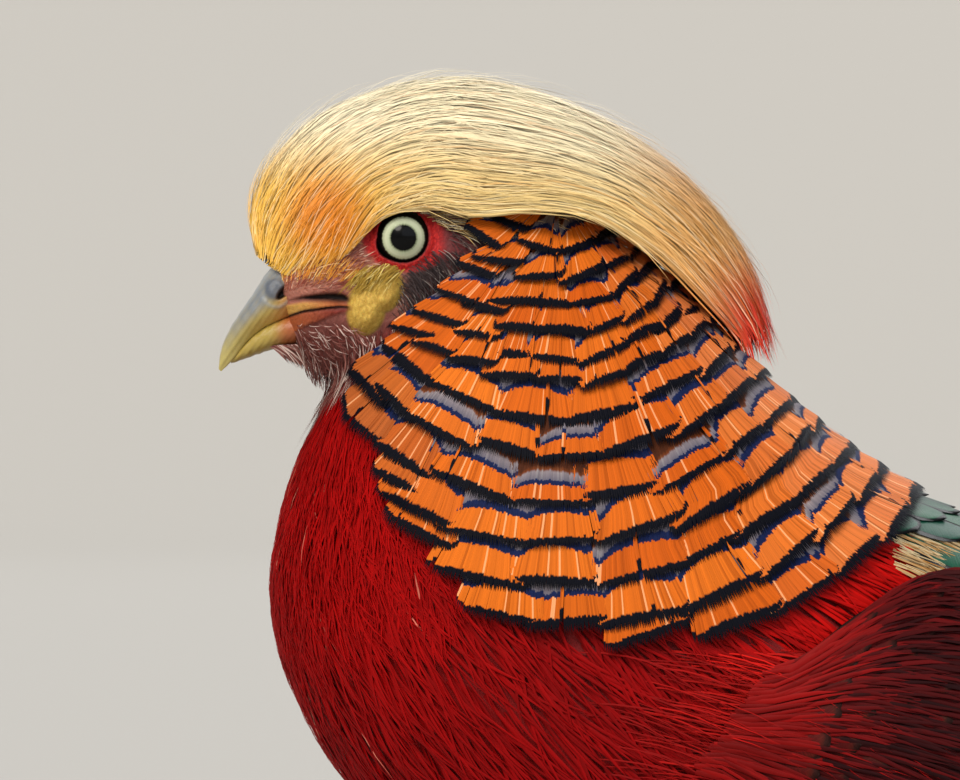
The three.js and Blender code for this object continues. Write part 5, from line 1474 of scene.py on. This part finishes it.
for left, flip in SIDES:
    # Flight feathers: the primaries lie lowest and reach furthest back, the secondaries cover them.
    u_from, u_to, v, low = (
        np.concatenate([np.linspace(*first, PRIMARIES), np.linspace(*second, SECONDARIES)])
        for first, second in FLIGHT_SPREAD)
    half = np.full(PRIMARIES + SECONDARIES, FLIGHT_HALF_WIDTH)
    centres, sides, ups = wing_vanes(u_from, u_to, v, half, low, low + 0.6, 0.1)
    flight = vane_piece(
        "flight_feathers_" + left, centres * flip, sides * flip, ups * flip, 0.4, 11, flight_brown,
        np.zeros((len(v), 3)), draw.uniform(0.8, 1.15, len(v)), 0.5, None)
    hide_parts("wing_" + left)
    v = np.linspace(0.3, 0.06, TERTIALS)
    centres, sides, ups = wing_vanes(np.full(TERTIALS, 0.26), TERTIAL_ENDS, v, np.full(TERTIALS, 9.5),
                                     np.full(TERTIALS, 2.4), np.linspace(3.0, 3.8, TERTIALS), 0.08)
    hue = np.tile(linear("#18245c"), (TERTIALS, 1))
    vane_piece("tertials_" + left, centres * flip, sides * flip, ups * flip, 0.4, 11, tertial_blue, hue,
               draw.uniform(0.85, 1.15, TERTIALS), 0.6, 1.0)
    u, v, high = [], [], []
    for row, end in enumerate(COVERT_ROWS):
        number = 9 - row // 3
        spread = (np.arange(number) + 0.5 * (row % 2) + 0.3) / number * 0.98
        v.append(spread + draw.uniform(-0.012, 0.012, number))
        u.append(np.full(number, end) + draw.uniform(-0.008, 0.008, number))
        high.append(np.full(number, 2.0 + 0.25 * row))
    u, v, high = np.concatenate(u), np.concatenate(v), np.concatenate(high)
    count = len(u)
    centres, sides, ups = wing_vanes(u - 0.13, u, v, draw.uniform(4.4, 5.6, count), high - 1.6, high + 1.2)
    hue = blend("#5c2416", "#3a1510", draw.random(count))
    hue = blend(hue, "#6e0f10", ease(0.5, 0.1, v) * 0.8)
    hue = blend(hue, "#4c0607", ease(0.26, 0.14, u) * 0.85)
    vane_piece("wing_coverts_" + left, centres * flip, sides * flip, ups * flip, 0.35, 9, covert_brown, hue,
               draw.uniform(0.8, 1.15, count), 0.5, 1.0)

# Scapulars
# Dark red feathers with loose edges fall from the shoulder over the front of the wing; they are the
# darkest red of the bird, black where they part.

SCAPULAR_BARBS = 2200
SHOULDER_BARBS = 1000
SHOULDER_TAPER = np.array([0.8, 1.0, 0.95, 0.8, 0.5, 0.15])

# Dark red keratin without hooks: matt and deep, so that the gaps between the barbs read as black.
scapular_red = plumage("dark_red_loose_barbs", 0.55, specular=0.1)
for left, flip in SIDES:
    count = SCAPULAR_BARBS
    root_u, root_v = draw.uniform(-0.03, 0.26, count), draw.uniform(-0.06, 0.93, count)
    lengths = draw.uniform(0.09, 0.17, count)
    share = BARB_SHARE
    at_u = root_u[:, None] + lengths[:, None] * share
    at_v = root_v[:, None] + draw.normal(0.03, 0.03, (count, 1)) * share
    rise = 1.6 + draw.uniform(0, 2.6, (count, 1)) * np.sin(share * 2.1) + 0.8
    at_v = np.clip(at_v, -0.04, 1.0)
    flat, ups = on_surface(wing_point, np.clip(at_u, 0, 1), at_v, rise)
    paths = flat + np.clip(at_u, None, 0)[..., None] * np.array([WING_REACH, 0.0, 0.0])
    hue = blend("#6c0608", "#260305", draw.random(count))
    hue = blend(hue, "#980a07", ease(0.06, -0.03, root_u) * 0.8)
    hue = blend(hue, "#160405", ease(0.05, 0.18, root_u) * 0.45)
    roots = np.stack([(root_u + 0.1) * 2.4, root_v + 0.15], -1)
    coat = barb_coat("scapular_barbs_" + left, paths * flip, ups * flip, (0.3, 0.6), BARB_TAPER, 0.4,
                     scapular_red, hue, (0.5, 1.1), roots)
    # Long silky scarlet hairs of the breast sweep back over the bend of the wing.
    count = SHOULDER_BARBS
    root_x, root_z = 34 + 48 * draw.random(count) ** 0.6, draw.uniform(150, 204, count)
    share = np.linspace(0, 1, 6)
    reach = draw.uniform(16, 34, count)[:, None] * share
    at_x = root_x[:, None] + reach
    at_z = root_z[:, None] - reach * draw.uniform(0.1, 0.5, (count, 1)) * share
    at_z = at_z + draw.normal(0, 0.5, (count, 1)) * share
    stand = body_half_width(at_x, at_z) - 0.9 + draw.uniform(2.0, 7.0, (count, 1)) * share**0.9
    bend = np.interp(at_x, [60, 72, 98, 119], [34, 42.5, 49.5, 52.5])
    stand = np.maximum(stand, bend + draw.uniform(0, 2.2, (count, 1)))
    paths = np.stack([at_x, -stand, at_z], -1)
    ups = np.broadcast_to(np.array([-0.1, -1.0, 0.35]), paths.shape)
    hue = blend("#7c0303", "#c8120a", draw.random(count) * ease(30, 60, root_x))
    roots = np.stack([(root_x - 40) / 80, (root_z - 140) / 80], -1)
    hair = barb_coat("silky_shoulder_barbs_" + left, paths * flip, ups * flip, (0.08, 0.2), SHOULDER_TAPER,
                     0.3, scarlet, hue, (0.8, 1.15), roots)

# Tail
# Two long middle feathers, black-brown with round cinnamon spots, make a low roof; five shorter barred
# pairs hang under them on each side. The roots sit in the flesh of the parson's nose.

TAIL_LENGTH = 650.0
TAIL_WIDTH = 46.0
TAIL_SLOPE = 11.0
TAIL_HANG = 42.0
TAIL_ROOT = np.array([231.0, 0.0, 168.0])
TAIL_PAIRS = (0.78, 0.6, 0.46, 0.35, 0.26)


def tail_point(distance, sideways, drop):
    """A point so far along the tail, which slopes down and sags under its own weight."""
    slope = math.radians(TAIL_SLOPE)
    sag = 26 * (distance / TAIL_LENGTH) ** 2
    return TAIL_ROOT + np.stack([
        distance * math.cos(slope), sideways + 0 * distance, -distance * math.sin(slope) - drop - sag], -1)


def shaped(shares, halves, count):
    """Shares of a feather's length and its half width at each, as shares of the widest."""
    t = np.linspace(0, 1, count)
    return t, np.interp(t, shares, halves)


# Middle tail vane: firm and faintly glossy, so the spots show as crisp pale rounds on black-brown.
spotted, tree, shader = blank_material("spotted_tail_vane")
chart, shade = (
    add_node(tree, "ShaderNodeAttribute", {"attribute_name": key}) for key in ("chart", "shade"))
# Round spots about 5 mm across stand about 6.5 mm apart, and some of them run together.
cells = add_node(tree, "ShaderNodeTexVoronoi", links={
    "Vector": chart.outputs["Vector"], "Scale": 1 / 6.5, "Randomness": 0.75})
ramp = add_node(tree, "ShaderNodeValToRGB", links={"Fac": cells.outputs["Distance"]})
fill_ramp(ramp, [(0.32, "#b07a42", 1.0), (0.42, "#1c1210", 1.0)])
toned = add_node(tree, "ShaderNodeVectorMath", {"operation": "SCALE"}, {
    0: ramp.outputs["Color"], "Scale": shade.outputs["Fac"]})
set_inputs(shader, {"Base Color": toned.outputs["Vector"], "Roughness": 0.42})
barb_lines(spotted, 0.55, 0.2)

slope = math.radians(TAIL_SLOPE)
tail_up = np.array([math.sin(slope), 0.0, math.cos(slope)])
t, half = shaped([0, 0.05, 0.13, 0.3, 0.5, 0.7, 0.87, 0.96, 1],
                 [0.1, 0.13, 0.5, 0.95, 1, 0.86, 0.55, 0.28, 0.04], 90)
centres, sides = [], []
for length, side, rise in ((TAIL_LENGTH, -1, 3.6), (TAIL_LENGTH - 14, 1, 1.4)):
    centres.append(tail_point(length * t - 4, side * 0.5, -rise))
    sides.append(np.stack([0 * half, -TAIL_WIDTH / 2 * half, 0 * half], -1))
centres, sides = np.array(centres), np.array(sides)
ups = np.broadcast_to(tail_up, centres.shape)
middle_tail = vane_piece("middle_tail_feathers", centres, sides, ups, 0.7, 17, spotted, np.zeros((2, 3)),
                         np.array([1.0, 0.9]), 11 * half[None] ** 1.5, None)
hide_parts("tail")

# Side tail vane: the same firm keratin with wide broken cinnamon bars.
tail_barred = barred_vane("barred_tail_vane", "#24150f", "#a8743c", 11.0, 4.0)
t, half = shaped([0, 0.08, 0.22, 0.6, 0.85, 0.95, 1], [0.1, 0.14, 0.75, 1, 0.7, 0.4, 0.08], 60)
centres, sides, ups = [], [], []
hang_across, hang_down = math.cos(math.radians(TAIL_HANG)), math.sin(math.radians(TAIL_HANG))
for pair, share in enumerate(TAIL_PAIRS):
    for side in (-1, 1):
        hang = np.array([0.0, side * hang_across, -hang_down])
        up = np.array([0.0, side * hang_down, hang_across])
        distance = TAIL_LENGTH * share * t
        wide = TAIL_WIDTH - 8 - 3 * pair
        out = wide / 2 * half + 0.012 * pair * distance
        line = tail_point(distance - 4, side * (3 + 0.68 * pair), 2.6 + 2.25 * pair)
        centres.append(line + hang * out[:, None])
        sides.append(hang * side * -(wide / 2 * half)[:, None])
        ups.append(np.broadcast_to(up, (len(t), 3)))
centres, sides, ups = np.array(centres), np.array(sides), np.array(ups)
count = len(centres)
side_tail = vane_piece("side_tail_feathers", centres, sides, ups, 0.6, 11, tail_barred, np.zeros((count, 3)),
                       draw.uniform(0.85, 1.1, count), 0.0, None)
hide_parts("tail_left", "tail_right")

# Tail coverts
# Long narrow feathers with scarlet ends that hang past both sides of the tail's root. Their quills sit
# in the rump, and they lie one below the other.

TAIL_COVERTS = 9

# Scarlet vane: long and narrow with a low gloss, so its hanging ends stand clear of the brown tail.
covert_scarlet = barb_lines(plumage("scarlet_covert_vane", 0.42), 0.45, 0.2)
t, half = shaped([0, 0.12, 0.45, 0.8, 0.94, 1], [0.06, 0.3, 1, 0.85, 0.5, 0.06], 40)
for left, flip in SIDES:
    centres, sides, ups, hues = [], [], [], []
    for i in range(TAIL_COVERTS):
        step = i * 0.42
        length = 205 - 34 * step + draw.uniform(-6, 6)
        across = 13 + draw.uniform(-3, 3)
        # The quills run together into the flesh of the rump.
        sunk = ease(0.12, 0.0, t)
        centres.append(np.stack([
            231 + length * t * 0.98 - 14 * sunk,
            -21.0 - across * t - step * 1.5 * t + 8 * sunk,
            176 - step * (4 - 3 * sunk) - length * t * (0.17 + 0.035 * step) - 16 * t * t - 2 * sunk], -1))
        sides.append(np.array([0.0, -2.2, -5.0 + step * 0.4]) * half[:, None])
        ups.append(np.broadcast_to(unit(np.array([0.0, -1.0, 0.35])), (len(t), 3)))
        hues.append(blend("#a8661c", "#ac170b", ease(0.1, 0.45, t))[:, None] * np.ones((1, 7, 1)))
    centres, sides, ups = (np.array(rows) * flip for rows in (centres, sides, ups))
    coverts = vane_piece("tail_coverts_" + left + "_vanes", centres, sides, ups, 0.5, 7, covert_scarlet,
                         np.array(hues), draw.uniform(0.85, 1.1, TAIL_COVERTS), 0.6, None)
    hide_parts("tail_coverts_" + left)

# Thigh feathers
# Short soft feathers, scarlet in front and chestnut behind. They hang down the leg from the belly and
# end in a cuff at the hock.

THIGH_BARBS = 1600

# Soft short keratin: matt and downy, so the thigh looks like felt beside the silky breast.
thigh_barbs = plumage("thigh_hair_feathers", 0.5)
for left, flip in SIDES:
    count = THIGH_BARBS
    s = 0.05 + 4.6 * draw.random(count) ** 0.85
    angle = draw.uniform(0, 2 * math.pi, count)
    share = BARB_SHARE
    pace = pace_along(thigh_point, s, angle)
    lengths = draw.uniform(8, 14, count) * (0.7 + 0.3 * ease(0.2, 2, s))
    at_s = s[:, None] - (lengths / pace)[:, None] * share
    turn = angle[:, None] + draw.normal(0, 0.06, (count, 1)) * share
    rise = -1.0 + draw.uniform(0.7, 2.2, (count, 1)) * np.sin(share * 2.0)
    under = np.clip(-at_s, 0, None)[..., None]
    at_s = np.clip(at_s, 0, THIGH_LAST)
    flat, ups = on_surface(thigh_point, at_s, turn, rise)
    paths = flat + under * np.array([0.5, 0.0, -10.0])
    hue = blend("#b01a10", "#8a4a20", ease(-0.3, 0.6, np.cos(angle)))
    hue = blend(hue, "#9c6a3c", ease(1.2, 0.2, s) * 0.8)
    roots = np.stack([angle / 2 / math.pi * 0.95 + 0.02, s / THIGH_LAST * 0.94 + 0.02], -1)
    coat = barb_coat("thigh_barbs_" + left, paths * flip, ups * flip, (0.6, 1.05), BARB_TAPER, 0.4,
                     thigh_barbs, hue, (0.7, 1.1), roots)

# Legs and feet
# Horn-yellow shanks with a row of broad scutes in front and small scales behind, a short spur, and
# toes with a scute to every step and grey horn claws. The soles are flat on the floor.

SOLE = 0.35
LEG_TOP = np.array([HOCK_X, -FOOT_Y, HOCK_Z + 4.2])
ANKLE = np.array([FOOT_X + 3.0, -FOOT_Y, 8.0])
FOOT_BALL = np.array([[5.0, 0.0, 0.4], [2.0, 0.0, 0.3], [-2.0, 0.0, 0.0], [-5.0, 0.0, -0.6]])
# The three front toes: degrees out from straight ahead, and length without the claw.
TOES = ((4, 43), (38, 33), (-30, 33))
CLAW_RADII = np.interp(np.linspace(0, 1, 8), [0, 0.35, 0.7, 1], [1.7, 1.4, 0.9, 0.3])


def tube_rings(path, radii, columns, scute=0.0, scute_step=3.0):
    """Rings round a path; each scute overlaps the one below it like a tile on the side away from the sole."""
    path, radii = np.asarray(path, float), np.asarray(radii, float)
    run = np.concatenate([[0], np.cumsum(np.linalg.norm(np.diff(path, axis=0), axis=-1))])
    count = max(8, int(run[-1] / 0.55))
    at = np.linspace(0, run[-1], count)
    line = np.stack([np.interp(at, run, path[:, k]) for k in range(3)], -1)
    for _ in range(4):
        line[1:-1] = (line[:-2] + 2 * line[1:-1] + line[2:]) / 4
    radius = np.interp(at, run, radii)
    along = unit(np.gradient(line, axis=0))
    across = unit(np.array([0.0, 1.0, 0.0]) - along * along[:, 1:2])
    other = np.cross(along, across)
    angle = full_turn(columns)
    front = np.clip(-np.sin(angle), 0, 1)[None] ** 0.5
    tooth = (at / scute_step) % 1.0
    ridge = scute * front * (0.4 - ease(0.0, 0.9, tooth) + 1.6 * ease(0.9, 1.0, tooth))[:, None]
    reach = radius[:, None] + ridge
    rings = line[:, None] + across[:, None] * (np.cos(angle) * reach)[..., None]
    rings = rings + other[:, None] * (np.sin(angle) * reach)[..., None]
    crease = np.exp(-((np.minimum(tooth, 1 - tooth) / 0.09) ** 2))[:, None] * (0.3 + 0.7 * front)
    return rings, crease


# Leg keratin: hard and faintly waxy. The seams of its small scales are drawn finer than real, so they
# read as a fine grain between the broad scutes.
scaly, tree, shader = blank_material("leg_scale_keratin")
hue = add_node(tree, "ShaderNodeAttribute", {"attribute_name": "hue"})
scales = add_node(tree, "ShaderNodeTexVoronoi", {"feature": "DISTANCE_TO_EDGE"}, {"Scale": 620.0})
seams = add_node(tree, "ShaderNodeMapRange", links={
    "Value": scales.outputs["Distance"], "From Min": 0.0, "From Max": 0.12, "To Min": 0.55, "To Max": 1.0})
toned = add_node(tree, "ShaderNodeVectorMath", {"operation": "SCALE"}, {
    0: hue.outputs["Color"], "Scale": seams.outputs["Result"]})
bump = add_node(tree, "ShaderNodeBump", links={
    "Strength": 0.4, "Distance": 0.0004, "Height": seams.outputs["Result"]})
set_inputs(shader, {
    "Base Color": toned.outputs["Vector"], "Normal": bump.outputs["Normal"], "Roughness": 0.4})

# Claw horn: worn and half polished, streaked grey and straw.
claw_horn, tree, shader = blank_material("grey_claw_horn")
streaks = add_node(tree, "ShaderNodeTexNoise", links={"Scale": 300.0, "Detail": 4.0})
ramp = add_node(tree, "ShaderNodeValToRGB", links={"Fac": streaks.outputs["Fac"]})
fill_ramp(ramp, [(0.0, "#3a342c", 1.0), (1.0, "#8a7c5c", 1.0)])
set_inputs(shader, {"Base Color": ramp.outputs["Color"], "Roughness": 0.32})


def toe_paths(angle, length, start, lift):
    """The middle lines of a front toe and of its claw."""
    out = np.array([-math.cos(math.radians(angle)), -math.sin(math.radians(angle)), 0.0])
    knuckles = np.array([0, 0.25, 0.42, 0.6, 0.78, 0.95, 1.0])
    path = start + out * (length * knuckles)[:, None]
    path[:, 2] = start[2] + (lift - start[2]) * np.minimum(knuckles * 3, 1)
    share = np.linspace(0, 1, 8)
    claw = path[-1] + out * (-1 + 10 * share)[:, None]
    claw[:, 2] = lift + 0.9 + 1.2 * np.sin(share * 2.4) - 2.3 * share**2
    return path, claw


def tubes_piece(name, parts, material, colours, flip):
    """Closed tubes with rounded ends as one mesh; nothing of them reaches under the floor."""
    points, faces, hues = [], [], []
    total = 0
    for rings, crease in parts:
        closed, around = capped(rings)
        closed[:, 2] = np.maximum(closed[:, 2], SOLE)
        points.append(closed)
        hues.append(blend(*colours, np.append(crease.ravel(), [0.0, 0.0])))
        faces += [f + total for f in facing_out(around, flip)]
        total += len(closed)
    return mesh_piece(name, np.vstack(points) * flip, faces, material, {"hue": np.vstack(hues)})


for left, flip in SIDES:
    along = LEG_TOP - ANKLE
    shank = ANKLE + along * np.array([-0.05, -0.02, 0.02, 0.1, 0.3, 0.6, 0.84, 0.94, 1.0])[:, None]
    ball = np.array([ANKLE[0], ANKLE[1], 4.4])
    hind = ANKLE + np.array([1.0, 1.5, 1.0])
    hind_out = unit(np.array([0.8, 0.5, 0.0]))
    hind_path = hind + hind_out * np.array([0.0, 5, 9, 12])[:, None]
    hind_path[:, 2] = [9, 7.4, 5, 3.2]
    hind_claw = hind_path[3] + hind_out * (np.array([0.0, 4, 7.5]) - 0.5)[:, None]
    hind_claw[:, 2] = [3, 2, 0.6]
    spur_at = ANKLE + along * 0.34
    spur = spur_at + unit(np.array([0.86, 0.42, 0.28])) * (1.5 + 9 * np.linspace(0, 1, 5))[:, None]
    legs = [
        tube_rings(shank, [1.6, 3.8, 4.3, 3.8, 3.2, 3.1, 3.5, 4.6, 4.8], 40, 0.5, 3.6),
        tube_rings(hind_path, [2.6, 2.3, 2.1, 1.3], 28, 0.35, 2.2),
        tube_rings(ball + FOOT_BALL, [2.6, 4.4, 4.4, 2.8], 28)]
    claws = [tube_rings(hind_claw, [1.4, 1, 0.35], 20), tube_rings(spur, [2.0, 1.8, 1.4, 0.9, 0.3], 20)]
    for angle, length in TOES:
        path, claw = toe_paths(angle, length, ball, 2.6)
        legs.append(tube_rings(path, [3.4, 3.1, 2.5, 2.9, 2.4, 2.3, 1.3], 28, 0.4, 2.6))
        claws.append(tube_rings(claw, CLAW_RADII, 20))
    leg = tubes_piece("leg_" + left + "_scales", legs, scaly, ("#bfa044", "#57401c"), flip)
    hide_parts("leg_" + left)
    claw_piece = tubes_piece("claws_" + left, claws, claw_horn, ("#6e6048", "#4a3e2c"), flip)

# Room
# A plain pale floor that turns up into a low wall far off, and wide soft lights; none of it belongs
# to the bird.

FLOOR_FLAT = 11.0
FLOOR_BEND = 4.0

floor_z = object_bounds()[0].z
bend = np.radians(np.linspace(0, 68, 16))
profile = np.vstack([
    np.stack([np.array([0.0, 2.0, 5.0, 8.0]), np.zeros(4)], -1),
    np.stack([FLOOR_FLAT + FLOOR_BEND * np.sin(bend), FLOOR_BEND * (1 - np.cos(bend))], -1)])
turn = full_turn(96)
floor_points = np.stack([
    profile[:, :1] * np.cos(turn), profile[:, :1] * np.sin(turn), profile[:, 1:] + floor_z + 0 * turn], -1)
floor_mesh = bpy.data.meshes.new("floor")
floor_faces = grid_faces(*floor_points.shape[:2], True)
floor_mesh.from_pydata(floor_points.reshape(-1, 3).tolist(), [], floor_faces.tolist())
floor_mesh.shade_smooth()
floor = bpy.data.objects.new("floor", floor_mesh)
bpy.context.scene.collection.objects.link(floor)
# Matt paint: it gives an even ground with a soft shadow and no reflections.
pale, tree, shader = blank_material("pale_matt_floor")
set_inputs(shader, {"Base Color": (*linear("#b3b1ac"), 1.0), "Roughness": 0.9})
floor_mesh.materials.append(pale)

world = bpy.data.worlds.new("studio")
world.use_nodes = True
set_inputs(world.node_tree.nodes["Background"], {"Color": (*linear("#dfe3e8"), 1.0), "Strength": 0.5})
bpy.context.scene.world = world
bpy.context.scene.view_settings.view_transform = "Standard"

# Each row: where the light points, how many degrees wide it is, its strength and its colour.
for name, towards, width, power, colour in (
        ("key", (0.45, 0.75, -0.85), 26, 2.7, "#fff6ea"),
        ("fill", (-0.6, 1.3, -0.5), 60, 0.8, "#eaf1ff"),
        ("rim", (-0.5, -1.0, -0.9), 40, 1.3, "#ffffff")):
    light = bpy.data.lights.new(name, "SUN")
    light.angle = math.radians(width)
    light.energy = power
    light.color = linear(colour)
    lamp = bpy.data.objects.new(name, light)
    lamp.rotation_euler = Vector(towards).to_track_quat("-Z", "Y").to_euler()
    bpy.context.scene.collection.objects.link(lamp)
